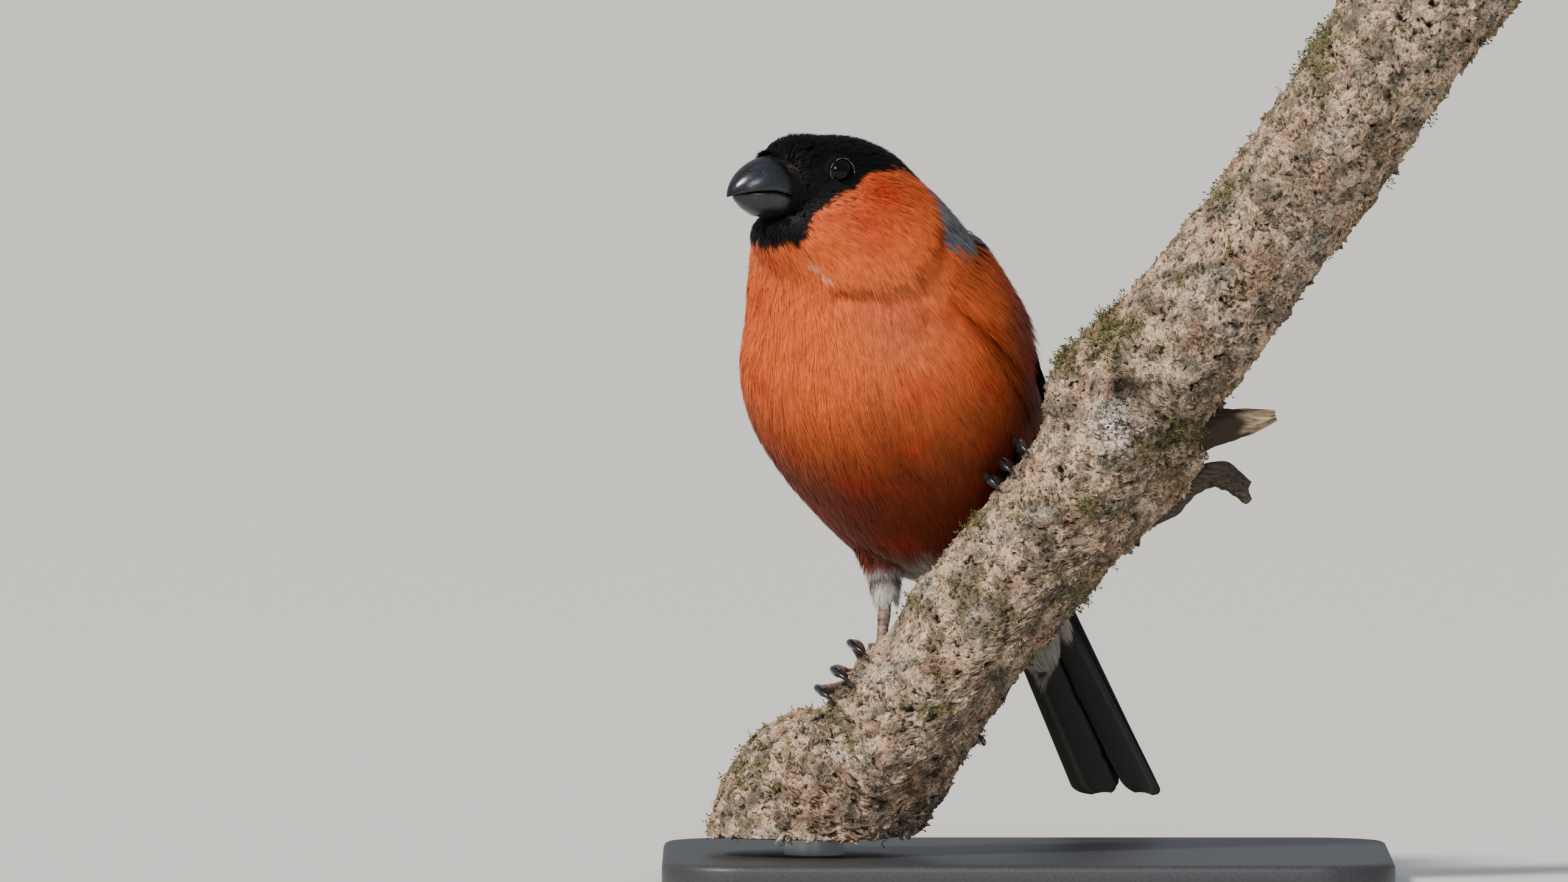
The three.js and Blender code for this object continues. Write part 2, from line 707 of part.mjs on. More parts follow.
// A short broken stub and a bent twig on the branch's lower side.
function snag() {
  const curve = new THREE.LineCurve3(new THREE.Vector3(66, -1, 1), new THREE.Vector3(79.5, -1.5, 4));
  const stub = tube(curve, [[0, 3.6], [0.7, 3], [0.86, 2.1], [1, 0.8]], 9, 7);
  return largest(stub.subtract(PERCH_CUTTER));
}

function twig() {
  const stem = new THREE.CatmullRomCurve3([
    new THREE.Vector3(56, 2, -13),
    new THREE.Vector3(62, 2, -11),
    new THREE.Vector3(66.5, 2.5, -7.2),
    new THREE.Vector3(71.5, 3, -5.4),
    new THREE.Vector3(76.5, 3, -7.6),
  ]);
  const fork = new THREE.CatmullRomCurve3([
    new THREE.Vector3(70, 2.8, -5.8),
    new THREE.Vector3(74, 1.8, -7.4),
    new THREE.Vector3(76.4, 1, -10),
  ]);
  const pieces = [
    tube(stem, [[0, 2.6], [0.4, 2.3], [0.8, 1.9], [1, 0.9]], 8, 9),
    tube(fork, [[0, 1.5], [0.7, 1.3], [1, 0.7]], 8, 5),
  ];
  return largest(fused(pieces).subtract(PERCH_CUTTER));
}

// The curve parameter at which the branch's centre reaches a distance along its rise.
function perchParameter(along) {
  let low = 0.2;
  let high = 1;
  for (let i = 0; i < 24; i += 1) {
    const half = (low + high) / 2;
    if (PERCH_CURVE.getPoint(half).dot(PERCH_DIRECTION) < along) low = half;
    else high = half;
  }
  return low;
}

// Legs. Each foot's pad lies on the far side of the branch, its front toes come over the top.
const LEGS = {
  right: {
    pad: -22.5,
    thigh: [place(BODY_PLACE, BODY, -16, -9, -7), new THREE.Vector3(17.2, 23, -20.5),
      new THREE.Vector3(17.6, 22.4, -27.6)],
    thighRadii: [[0, 7.2], [0.6, 4], [0.85, 3], [1, 2.1]],
    heel: new THREE.Vector3(18.2, 22.6, -29.3),
    toes: [
      { along: -20.3, end: 133 },
      { along: -18.6, end: 2 },
      { along: -23.8, end: -4 },
      { along: -28.4, end: 0 },
    ],
  },
  left: {
    pad: 19,
    thigh: [place(BODY_PLACE, BODY, -12, -8, 8), new THREE.Vector3(37, 18, -10.6),
      new THREE.Vector3(41.6, 16.6, -12.6)],
    thighRadii: [[0, 6.2], [0.6, 4.2], [0.85, 3.2], [1, 2.1]],
    heel: new THREE.Vector3(42.4, 16.6, -12.8),
    toes: [
      { along: 20.6, end: 133 },
      { along: 15.2, end: 2 },
      { along: 18.6, end: -4 },
      { along: 23, end: 0 },
    ],
  },
};

function thighSolid(leg, grow) {
  const curve = new THREE.CatmullRomCurve3(leg.thigh);
  return tube(curve, leg.thighRadii.map(([at, radius]) => [at, radius + grow]), 12, 7);
}

function thigh(leg) {
  return largest(thighSolid(leg, 0).subtract(FORM_CUTTER).subtract(PERCH_CUTTER));
}

// A toe runs over the bark from the pad to its end, swollen at each joint.
function toeCurve(leg, { along, end }, clawSweep = 0) {
  const points = [];
  const steps = clawSweep ? 4 : 7;
  for (let i = 0; i <= steps; i += 1) {
    const v = i / steps;
    const turn = Math.sign(end - PAD_ANGLE);
    if (clawSweep) {
      const height = TOE_HEIGHT + CLAW_ARCH * v * (1 - v) - 1.05 * v;
      points.push(perchPoint(perchParameter(along), end + turn * (1.9 + clawSweep * v), height));
    } else {
      const at = perchParameter(lerp(leg.pad, along, smoothstep(v, 0, 0.8)));
      points.push(perchPoint(at, lerp(PAD_ANGLE, end, v), TOE_HEIGHT));
    }
  }
  return new THREE.CatmullRomCurve3(points);
}

function foot(leg) {
  const pad = perchPoint(perchParameter(leg.pad), PAD_ANGLE, TOE_HEIGHT + 0.4);
  const shank = new THREE.LineCurve3(leg.heel, pad);
  const pieces = [
    tube(shank, [[0, 1.3], [0.12, 1.35], [0.3, TARSUS_RADIUS], [0.85, TARSUS_RADIUS], [1, 1.4]], 7, 6),
    ball(pad, 1.6, null, [1, 1, 1], 10, 7),
  ];
  const swollen = [[0, 1.15], [0.2, 0.95], [0.36, 1.1], [0.52, 0.9], [0.7, 1.05], [0.86, 0.85], [1, 0.8]];
  for (const toe of leg.toes) pieces.push(tube(toeCurve(leg, toe), swollen, 6, 7));
  return largest(fused(pieces).subtract(PERCH_CUTTER).subtract(thighSolid(leg, GAP))
    .subtract(FORM_CUTTER));
}

function claw(leg, toe) {
  const curve = toeCurve(leg, toe, CLAW_SWEEP);
  const tapered = [[0, 0.75], [0.5, 0.6], [0.85, 0.4], [1, 0.18]];
  return largest(tube(curve, tapered, 6, 5).subtract(PERCH_CUTTER));
}

// Stand: a flat base with a socket, and one short rod up into the branch's sawn foot.
function base() {
  const half = new THREE.Vector2(BASE.width / 2 - BASE.bevel, BASE.depth / 2 - BASE.bevel);
  const corner = BASE.corner;
  const outline = new THREE.Shape();
  outline.absarc(half.x - corner, half.y - corner, corner, 0, Math.PI / 2);
  outline.absarc(corner - half.x, half.y - corner, corner, Math.PI / 2, Math.PI);
  outline.absarc(corner - half.x, corner - half.y, corner, Math.PI, 1.5 * Math.PI);
  outline.absarc(half.x - corner, corner - half.y, corner, 1.5 * Math.PI, 2 * Math.PI);
  const geometry = new THREE.ExtrudeGeometry(outline, {
    depth: BASE.height - 2 * BASE.bevel,
    bevelSize: BASE.bevel,
    bevelThickness: BASE.bevel,
    bevelSegments: 1,
    curveSegments: 4,
  });
  geometry.translate(WORK_ORIGIN.x, WORK_ORIGIN.y, WORK_ORIGIN.z + BASE.bevel);
  const top = WORK_ORIGIN.z + BASE.height;
  return largest(solidFromGeometry(geometry)
    .subtract(rodSolid(ROD_RADIUS + GAP, top - SOCKET_DEPTH, top + 1)));
}

function rod() {
  const bottom = WORK_ORIGIN.z + BASE.height - SOCKET_DEPTH + GAP;
  return rodSolid(ROD_RADIUS, bottom, PERCH_FOOT + ROD_IN_PERCH);
}

// Colours and finishes.
function finish(color, roughness, metalness = 0) {
  return new THREE.MeshStandardMaterial({ color, roughness, metalness });
}

const FINISHES = {
  blackCap: () => finish(0x0d0d10, 0.6),
  orange: () => finish(0xc8532c, 0.85),
  bill: () => finish(0x1c1f26, 0.35),
  eye: () => finish(0x120c0a, 0.05),
  wing: () => finish(0x16161c, 0.5),
  thigh: () => finish(0xc9c4bf, 0.9),
  foot: () => finish(0x6b5148, 0.6),
  claw: () => finish(0x0e0d0e, 0.25),
  bark: () => finish(0x8d7866, 0.95),
  brokenWood: () => finish(0xb59a78, 0.9),
  base: () => finish(0x2e2f31, 0.5, 0.3),
  steel: () => finish(0x9a9c9e, 0.35, 1),
};

function node(name, solid, material) {
  const { numProp, vertProperties, triVerts } = largest(solid.simplify(FACET_TOLERANCE)).getMesh();
  const positions = new Float32Array((vertProperties.length / numProp) * 3);
  for (let i = 0; i < positions.length / 3; i += 1) {
    for (let k = 0; k < 3; k += 1) positions[3 * i + k] = vertProperties[numProp * i + k];
  }
  const geometry = new THREE.BufferGeometry();
  geometry.setAttribute("position", new THREE.BufferAttribute(positions, 3));
  geometry.setIndex(new THREE.BufferAttribute(Uint32Array.from(triVerts), 1));
  geometry.computeVertexNormals();
  const mesh = new THREE.Mesh(geometry, material);
  mesh.name = name;
  return mesh;
}

// The whole part: stand, branch and bird in one group.
function stand() {
  const group = new THREE.Group();
  group.add(node("stand_base", base(), FINISHES.base()));
  group.add(node("stand_rod", rod(), FINISHES.steel()));
  return group;
}

function branch() {
  const group = new THREE.Group();
  group.add(node("perch", perch(), FINISHES.bark()));
  group.add(node("perch_snag", snag(), FINISHES.brokenWood()));
  group.add(node("perch_twig", twig(), FINISHES.bark()));
  return group;
}

function bird() {
  const group = new THREE.Group();
  group.add(node("head", head(), FINISHES.blackCap()));
  group.add(node("neck", neck(), FINISHES.orange()));
  group.add(node("torso", torso(), FINISHES.orange()));
  group.add(node("bill_upper", upperBill(), FINISHES.bill()));
  group.add(node("bill_lower", lowerBill(), FINISHES.bill()));
  group.add(node("tail", tail(), FINISHES.wing()));
  for (const [name, side] of [["left", 1], ["right", -1]]) {
    const leg = LEGS[name];
    group.add(node(`eye_${name}`, eyeball(side, 0), FINISHES.eye()));
    group.add(node(`wing_${name}`, wing(side), FINISHES.wing()));
    group.add(node(`thigh_${name}`, thigh(leg), FINISHES.thigh()));
    group.add(node(`foot_${name}`, foot(leg), FINISHES.foot()));
    leg.toes.forEach((toe, i) => {
      group.add(node(`claw_${name}_${i + 1}`, claw(leg, toe), FINISHES.claw()));
    });
  }
  return group;
}

const part = new THREE.Group();
part.add(stand(), branch(), bird());
part.position.copy(WORK_ORIGIN).negate();

export default part;
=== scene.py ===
"""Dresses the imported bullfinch: feathers, bill, eyes, feet, bark, moss, stand and studio.

Lengths in the named values are millimetres in the working frame of the part's source: x to the
viewer's right, y away from the viewer, z up. Meshes are written in metres in the row frame.
"""
import math
from collections import namedtuple

import bpy
import numpy as np
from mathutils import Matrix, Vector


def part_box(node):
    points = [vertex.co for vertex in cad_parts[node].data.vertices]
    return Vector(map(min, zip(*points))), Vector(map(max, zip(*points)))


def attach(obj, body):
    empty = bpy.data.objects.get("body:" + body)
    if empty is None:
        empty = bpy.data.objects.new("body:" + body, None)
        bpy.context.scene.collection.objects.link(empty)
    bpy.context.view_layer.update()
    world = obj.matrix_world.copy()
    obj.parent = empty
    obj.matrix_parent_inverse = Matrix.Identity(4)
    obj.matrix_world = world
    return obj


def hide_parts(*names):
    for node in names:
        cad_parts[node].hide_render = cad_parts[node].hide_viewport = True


bl_info = {
    "name": "Perched Bullfinch",
    "version": (1, 0, 0),
    "blender": (4, 5, 0),
    "location": "3D View > Sidebar > Bullfinch",
    "description": "Feathers, horn, skin, bark and moss for a life-size bullfinch on a branch",
    "category": "Add Mesh",
}

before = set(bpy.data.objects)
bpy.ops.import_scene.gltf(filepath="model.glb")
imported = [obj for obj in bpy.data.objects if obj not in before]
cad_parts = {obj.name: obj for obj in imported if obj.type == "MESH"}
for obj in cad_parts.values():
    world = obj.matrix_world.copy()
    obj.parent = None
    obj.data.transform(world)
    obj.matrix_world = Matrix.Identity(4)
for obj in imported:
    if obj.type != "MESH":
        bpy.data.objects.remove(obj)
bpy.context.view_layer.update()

MM = 0.001
WORK_ORIGIN = np.array([40.0, 10.0, -74.0])

# Pose, as in the part's source.
BODY_PLACE = np.array([19.5, 17.0, 8.0])
HEAD_PLACE = np.array([4.9, -2.0, 44.5])
BODY_YAW, BODY_PITCH, TAIL_PITCH = 30, 50, 47
HEAD_YAW, HEAD_PITCH = 57, 3

# Eyes and bill, in the head's own directions.
EYE_RADIUS, EYE_OUT = 2.9, 6.3
LID_RADIUS = 2.15
LID_PROFILE = ((-0.1, -0.5), (-0.1, -0.12), (-0.02, 0.1), (0.14, 0.16), (0.34, 0.05), (0.6, -0.08))
LID_COLUMNS = 96
BEADS, BEAD_RADIUS = 46, 0.075
BILL_START, BILL_TIP, BILL_HALF_WIDTH = 5.0, 16.7, 5.0
LOWER_BILL_TIP = 15.6

# Wings and tail.
WING_BED = 2.8
WING_TIP_FAN = 0.5
FLIGHT_STEP = 0.55
VANE_SHAFT = 0.62
TAIL_LENGTH, TAIL_PAIRS, TAIL_STEP, TAIL_TOP = 63.0, 6, 0.8, 5.8

# Coat: each barb is a blade of five points and three triangles, with its own patch to bake on.
BARB_POINTS, BARB_TRIANGLES = 5, 3
MOST_TRIANGLES = 190000
BAKE_PATCH = 0.003
SKIN_COLUMNS, SKIN_STEP = 144, 1.1
THIGH_COAT = 0.9
SMALLEST_TUFT = 0.35
EYE_EDGE, EYE_CLEAR = 1.85, 2.0
UNDERTAIL_TUFTS, THIGH_TUFTS, BRISTLES = 1300, 950, 3400

# Vanes: barbs 0.35 mm apart, about twice as coarse as real ones, so that they show; a barb runs
# 0.9 mm down the vane for each millimetre across it.
BARB_SPACING, BARB_SLANT = 0.35, 0.9

# Legs and toes on the branch.
TOE_HEIGHT, PAD_ANGLE, CLAW_SWEEP, CLAW_ARCH = 1.5, 62, 26, 5.0

SHANK_RADII = [(0, 0.9), (0.25, 1.15), (0.35, 0.95), (0.85, 0.95), (1, 1.4)]
TOE_RADII = [
    (0, 1.15), (0.2, 0.95), (0.36, 1.12), (0.52, 0.9), (0.7, 1.08), (0.86, 0.88), (0.97, 0.85), (1, 0.5),
]

# Branch and stand.
BRANCH_RISE = 52.3
PERCH_FOOT = -65.0
BARK_GRID, QUICK_BARK_GRID = (640, 172), (150, 90)
BARK_MIDDLE = 2.75
ROD_RADIUS = 5.0
ROD_PLACE = np.array([5.0, 0.0])
BASE_WIDTH, BASE_DEPTH, BASE_CORNER = 120.0, 96.0, 14.0

# The photograph's frame: one of its pixels is a tenth of a millimetre at the bird.
PHOTO_WIDTH, PHOTO_PIXEL = 2576, 0.1

Frame = namedtuple("Frame", "axis dorsal left")
Egg = namedtuple("Egg", "centre frame radii blend")


def unit(vectors):
    return vectors / np.maximum(np.linalg.norm(vectors, axis=-1, keepdims=True), 1e-9)


def dot(a, b):
    return np.sum(a * b, axis=-1)


def mix(a, b, share):
    return a + (b - a) * share


def smoothstep(x, low, high):
    s = np.clip((np.asarray(x, float) - low) / (high - low), 0, 1)
    return s * s * (3 - 2 * s)


def ramp(x, points):
    xs, ys = zip(*points)
    return np.interp(x, xs, ys)


def ripple(points, size, seed):
    """Smooth waves from about -1 to 1, a few millimetres across, at places in space."""
    rng = np.random.default_rng(seed)
    total = 0
    for _ in range(7):
        wave = unit(rng.normal(size=3)) * 2 * math.pi / (size * rng.uniform(0.7, 1.6))
        total = total + np.sin(points @ wave + rng.uniform(0, 2 * math.pi))
    return total / 3.2


def directions(yaw, pitch):
    """Axis towards the head, dorsal towards the back, and left."""
    yaw, pitch = math.radians(yaw), math.radians(pitch)
    ahead = np.array([-math.sin(yaw), -math.cos(yaw), 0.0])
    up = np.array([0.0, 0.0, 1.0])
    axis = ahead * math.cos(pitch) + up * math.sin(pitch)
    dorsal = up * math.cos(pitch) - ahead * math.sin(pitch)
    return Frame(axis, dorsal, np.cross(dorsal, axis))


BODY = directions(BODY_YAW, BODY_PITCH)
TAIL = directions(BODY_YAW, TAIL_PITCH)
HEAD = directions(HEAD_YAW, HEAD_PITCH)


def place(origin, part, along, dorsal, left):
    along, dorsal, left = (np.asarray(value, float)[..., None] for value in (along, dorsal, left))
    return origin + along * part.axis + dorsal * part.dorsal + left * part.left


def local(points, origin, part):
    """Along, dorsal and left of places, measured in a part's own directions."""
    offset = points - origin
    return offset @ part.axis, offset @ part.dorsal, offset @ part.left


# The bird's form: a smooth blend of egg shapes, the same as in the part's source.
TAIL_ROOT = place(BODY_PLACE, BODY, -36, 7, 0)


def egg(origin, part, along, dorsal, left, radii, blend):
    return Egg(place(origin, part, along, dorsal, left), part, np.array(radii, float), blend)


FLESH = [
    egg(BODY_PLACE, BODY, 4.5, -3.6, -0.1, (26, 20.3, 24.3), 7),
    egg(BODY_PLACE, BODY, -12, -1.5, -0.4, (25, 18, 20.6), 7),
    egg(BODY_PLACE, BODY, 2, 5.5, 0, (34, 15.5, 18.5), 7),
    egg(BODY_PLACE, BODY, -30, 4.5, 0, (21, 9.5, 13), 8),
    egg(BODY_PLACE, BODY, 24, 2.5, -0.3, (18, 16, 18.6), 7),
    egg(HEAD_PLACE, HEAD, -6.5, -9, 0, (13.5, 10.6, 13), 5),
    egg(HEAD_PLACE, HEAD, -4, -2.4, 0, (13.8, 8.6, 10.2), 3),
    egg(HEAD_PLACE, HEAD, 3.8, -1.6, 0, (6.8, 6.9, 8), 3),
    egg(HEAD_PLACE, HEAD, -5.5, -7, 4.5, (9.5, 7.5, 7.8), 3),
    egg(HEAD_PLACE, HEAD, -5.5, -7, -4.5, (9.5, 7.5, 7.8), 3),
    egg(HEAD_PLACE, HEAD, 2.6, -10, 0, (7.5, 6.5, 8.6), 4),
    egg(TAIL_ROOT, TAIL, -10, -3.2, 0, (22, 4.2, 7.4), 7),
]
WING_SUPPORT = FLESH + [egg(TAIL_ROOT, TAIL, -14, 2.4, 0, (34, 5.2, 9.5), 6)]


def outside(points, eggs=FLESH):
    """Distance from the blend's surface, negative inside."""
    out = None
    for centre, part, radii, blend in eggs:
        offset = np.stack(local(points, centre, part), axis=-1)
        near = np.linalg.norm(offset / radii, axis=-1)
        steep = np.linalg.norm(offset / radii**2, axis=-1)
        distance = near * (near - 1) / np.maximum(steep, 1e-9)
        if out is None:
            out = distance
            continue
        share = np.maximum(blend - np.abs(out - distance), 0) / blend
        out = np.minimum(out, distance) - share * share * blend * 0.25
    return out


def form_normal(points, eggs=FLESH):
    step = 0.2
    slope = [outside(points + shift, eggs) - outside(points - shift, eggs) for shift in np.eye(3) * step]
    return unit(np.stack(slope, axis=-1))


SPINE_START = place(HEAD_PLACE, HEAD, -3.5, -3, 0)
SPINE_END = place(TAIL_ROOT, TAIL, -14, -3.4, 0)
SPINE_BEND = 2 * place(BODY_PLACE, BODY, 0, 1, 0) - 0.5 * (SPINE_START + SPINE_END)


def spine_point(t):
    t = np.asarray(t, float)[..., None]
    return (1 - t) ** 2 * SPINE_START + 2 * t * (1 - t) * SPINE_BEND + t * t * SPINE_END


SPINE_LENGTH = np.linalg.norm(np.diff(spine_point(np.linspace(0, 1, 201)), axis=0), axis=1).sum()


def spine_frame(t):
    t = np.asarray(t, float)[..., None]
    within = np.clip(t, 0, 1)
    axis = -unit(mix(SPINE_BEND - SPINE_START, SPINE_END - SPINE_BEND, within))
    left = mix(HEAD.left, BODY.left, smoothstep(t, 0, 0.625))
    left = unit(left - dot(left, axis)[..., None] * axis)
    return Frame(axis, np.cross(axis, left), left)


def wing_bed(mm, angle):
    """How far the coat is pressed down where a folded wing lies."""
    across = smoothstep(angle, 4, 16) * (1 - smoothstep(angle, 70, 84))
    along = smoothstep(mm, 24, 34) * (1 - smoothstep(mm, 76, 92))
    return WING_BED * across * along


def form_points(mm, angle, grow=0.0, eggs=FLESH, lean=0.0, bed=1.0):
    """Places on the form seen from the spine: mm behind the head, degrees from the back."""
    mm, angle, grow, lean = np.broadcast_arrays(*(np.asarray(v, float) for v in (mm, angle, grow, lean)))
    shape = mm.shape
    mm, angle, grow, lean = (v.ravel() for v in (mm, angle, grow, lean))
    t = mm / SPINE_LENGTH
    part = spine_frame(t)
    start = spine_point(t)
    turn, tilt = np.radians(angle)[:, None], np.radians(lean)[:, None]
    ray = np.cos(tilt) * (np.cos(turn) * part.dorsal + np.sin(turn) * part.left) + np.sin(tilt) * part.axis
    wrapped = np.abs((angle + 180) % 360 - 180)
    level = grow - bed * wing_bed(mm, wrapped) * np.cos(tilt[:, 0])
    near = np.zeros(len(mm))
    far = np.full(len(mm), 60.0)
    open_rays = np.arange(len(mm))
    for reach in np.arange(1.5, 60, 1.5):
        inside = outside(start[open_rays] + ray[open_rays] * reach, eggs) < level[open_rays]
        far[open_rays[~inside]] = reach
        near[open_rays[inside]] = reach
        open_rays = open_rays[inside]
        if not len(open_rays):
            break
    for _ in range(12):
        half = (near + far) / 2
        inside = outside(start + ray * half[:, None], eggs) < level
        near = np.where(inside, half, near)
        far = np.where(inside, far, half)
    return (start + ray * far[:, None]).reshape(shape + (3,))


def grid_faces(rows, columns):
    """Triangles of a grid of places, with its columns joined round."""
    row, column = np.meshgrid(np.arange(rows - 1), np.arange(columns), indexing="ij")
    a = (row * columns + column).ravel()
    b = (row * columns + (column + 1) % columns).ravel()
    c, d = a + columns, b + columns
    return np.concatenate([np.stack([a, b, d], 1), np.stack([a, d, c], 1)])


def facing_out(points, faces):
    """Turns a closed surface's triangles so that they look outwards."""
    a, b, c = (points[faces[:, k]] for k in range(3))
    if dot(a, np.cross(b, c)).sum() < 0:
        return faces[:, ::-1]
    return faces


class Shape:
    """Places, triangles and per-place values of one mesh, joined from several parts."""

    def __init__(self):
        self.points, self.faces, self.values, self.maps, self.normals = [], [], {}, [], []
        self.total = 0

    def add(self, points, faces, patch=None, **values):
        points = np.asarray(points, float).reshape(-1, 3)
        self.points.append(points)
        self.faces.append(np.asarray(faces) + self.total)
        for key, value in values.items():
            self.values.setdefault(key, []).append((len(points), np.asarray(value, float)))
        if patch is not None:
            self.maps.append(np.asarray(patch, float).reshape(-1, 2))
        self.total += len(points)

    def add_grid(self, grid, patch=None, **values):
        self.add(grid, grid_faces(*grid.shape[:2]), patch, **values)

    def add_tube(self, grid):
        """A tube of rings with both its ends closed."""
        self.add_grid(grid)
        self.cap(grid)

    def cap(self, grid, **values):
        """Closes the two open ends of a tube of rings with fans."""
        columns = grid.shape[1]
        index = np.arange(columns)
        fan = np.stack([index, (index + 1) % columns, np.full(columns, columns)], axis=1)
        for ring, faces in ((grid[0], fan[:, ::-1]), (grid[-1], fan)):
            self.add(np.concatenate([ring, ring.mean(axis=0, keepdims=True)]), faces, **values)

    def column(self, key):
        parts = []
        for count, value in self.values[key]:
            width = value.shape[-1] if value.ndim and value.shape[-1] == 3 and value.size != count else 1
            flat = value.reshape(-1, width) if value.ndim else np.full((1, 1), float(value))
            parts.append(np.broadcast_to(flat, (count, width)))
        return np.concatenate(parts)

    def mesh(self, name):
        points = np.concatenate(self.points)
        faces = np.concatenate(self.faces)
        uneven = (faces[:, 0] != faces[:, 1]) & (faces[:, 1] != faces[:, 2]) & (faces[:, 0] != faces[:, 2])
        faces = faces[uneven].astype(np.int32)
        mesh = bpy.data.meshes.new(name)
        mesh.vertices.add(len(points))
        mesh.vertices.foreach_set("co", ((points - WORK_ORIGIN) * MM).astype(np.float32).ravel())
        mesh.loops.add(faces.size)
        mesh.loops.foreach_set("vertex_index", faces.ravel())
        mesh.polygons.add(len(faces))
        mesh.polygons.foreach_set("loop_start", np.arange(0, faces.size, 3, dtype=np.int32))
        mesh.polygons.foreach_set("use_smooth", np.ones(len(faces), bool))
        for key in self.values:
            value = self.column(key)
            if value.shape[1] == 3:
                layer = mesh.attributes.new(key, "FLOAT_COLOR", "POINT")
                rgba = np.concatenate([value, np.ones((len(value), 1))], axis=1)
                layer.data.foreach_set("color", rgba.astype(np.float32).ravel())
            else:
                layer = mesh.attributes.new(key, "FLOAT", "POINT")
                layer.data.foreach_set("value", value.astype(np.float32).ravel())
        if self.maps:
            layer = mesh.uv_layers.new(name="OFBake")
            uv = np.concatenate(self.maps)[faces.ravel()]
            layer.data.foreach_set("uv", uv.astype(np.float32).ravel())
        mesh.update()
        mesh.validate()
        if self.normals:
            normals = np.concatenate(self.normals)
            mesh.normals_split_custom_set_from_vertices(normals.astype(np.float32))
        return mesh


def linked(name, data):
    made = bpy.data.objects.new(name, data)
    bpy.context.scene.collection.objects.link(made)
    return made


def dressed(made, material, slot, *nodes):
    """Gives an object its one material, hangs it under the part's root, and hides the CAD nodes it stands
    for.
    """
    made.data.materials.clear()
    made.data.materials.append(material)
    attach(made, "root")
    if nodes:
        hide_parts(*nodes)


def piece(name, shape, material, slot, *nodes):
    dressed(linked(name, shape.mesh(name)), material, slot, *nodes)


# Colours and materials.
def linear(code):
    """Linear RGB of an sRGB hex colour."""
    srgb = np.array([int(code[i:i + 2], 16) / 255 for i in (1, 3, 5)])
    return np.where(srgb <= 0.04045, srgb / 12.92, ((srgb + 0.055) / 1.055) ** 2.4)


def rgba(code):
    return (*linear(code), 1.0)


class Nodes:
    """Short calls that add nodes to a tree: values and sockets go in, one output socket comes back."""

    def __init__(self, tree):
        self.tree = tree

    def add(self, kind, inputs=None, output=0, **settings):
        made = self.tree.nodes.new(kind)
        for key, value in settings.items():
            setattr(made, key, value)
        for key, value in (inputs or {}).items():
            if isinstance(value, bpy.types.NodeSocket):
                self.tree.links.new(value, made.inputs[key])
            else:
                made.inputs[key].default_value = value
        return made.outputs[output] if len(made.outputs) else None

    def math(self, operation, *values):
        return self.add("ShaderNodeMath", dict(enumerate(values)), operation=operation)

    def scaled(self, vector, share):
        return self.add("ShaderNodeVectorMath", {0: vector, "Scale": share}, operation="SCALE")

    def noise(self, vector, scale, detail, **more):
        inputs = {"Vector": vector, "Scale": scale, "Detail": detail, **more}
        return self.add("ShaderNodeTexNoise", inputs, "Fac")

    def remap(self, value, low, high, start=0.0, end=1.0, **settings):
        """Takes a value between start and end to one between low and high, held at both."""
        inputs = {"Value": value, "From Min": start, "From Max": end, "To Min": low, "To Max": high}
        return self.add("ShaderNodeMapRange", inputs, **settings)


class Surface(Nodes):
    """A node material over the object's own space that ends in one Principled surface."""

    def __init__(self, name):
        self.material = bpy.data.materials.new(name)
        self.material.use_nodes = True
        super().__init__(self.material.node_tree)
        self.tree.nodes.clear()
        self.space = self.add("ShaderNodeTexCoord", output="Object")

    def mark(self, name, output="Fac"):
        """A value, or with "Color" a colour, that the mesh carries at its points."""
        return self.add("ShaderNodeAttribute", output=output, attribute_name=name)

    def grain(self, scale, detail=2.0, **more):
        return self.noise(self.space, scale, detail, **more)

    def fibres(self, scale, detail):
        """Noise drawn out along one axis."""
        drawn = self.add("ShaderNodeMapping", {"Vector": self.space, "Scale": scale})
        return self.noise(drawn, 1.0, detail)

    def cells(self, scale):
        return self.add("ShaderNodeTexVoronoi", {"Vector": self.space, "Scale": scale}, "Distance")

    def tint(self, value, *stops):
        """A colour ramp through sRGB hex colours."""
        color = self.add("ShaderNodeValToRGB", {"Fac": value})
        elements = color.node.color_ramp.elements
        while len(elements) < len(stops):
            elements.new(0.5)
        for element, (position, code) in zip(elements, stops):
            element.position = position
            element.color = rgba(code)
        return color

    def over(self, color, code, share):
        """Lays a plain colour over another by a share."""
        inputs = {"Factor": share, 6: color, 7: rgba(code)}
        return self.add("ShaderNodeMix", inputs, 2, data_type="RGBA")

    def bump(self, height, strength, depth):
        return self.add("ShaderNodeBump", {"Height": height, "Strength": strength, "Distance": depth})

    def finish(self, color, roughness, bump=None, **constants):
        inputs = {"Base Color": color, "Roughness": roughness}
        if bump is not None:
            inputs["Normal"] = bump
        for key, value in constants.items():
            inputs[key.replace("_", " ")] = value
        shader = self.add("ShaderNodeBsdfPrincipled", inputs)
        self.add("ShaderNodeOutputMaterial", {"Surface": shader})
        return self.material


def feather_barbs():
    """Contour feathers: keratin barbs, matt, each tuft with its own tone, and darker at the root: partly the
    grey down there, partly painted shade deep in the coat.
    """
    nodes = Surface("contour_feather_barbs")
    # Towards the root each barb darkens: partly the grey down there, partly painted shade deep in the coat.
    depth = nodes.remap(nodes.mark("along"), 0.84, 1.02)
    patchy = nodes.remap(nodes.grain(420.0), 0.9, 1.1, 0.3, 0.7)
    shade = nodes.math("MULTIPLY", nodes.math("MULTIPLY", depth, patchy), nodes.mark("tone"))
    color = nodes.scaled(nodes.mark("marking", "Color"), shade)
    return nodes.finish(color, 0.55, Specular_IOR_Level=0.2)


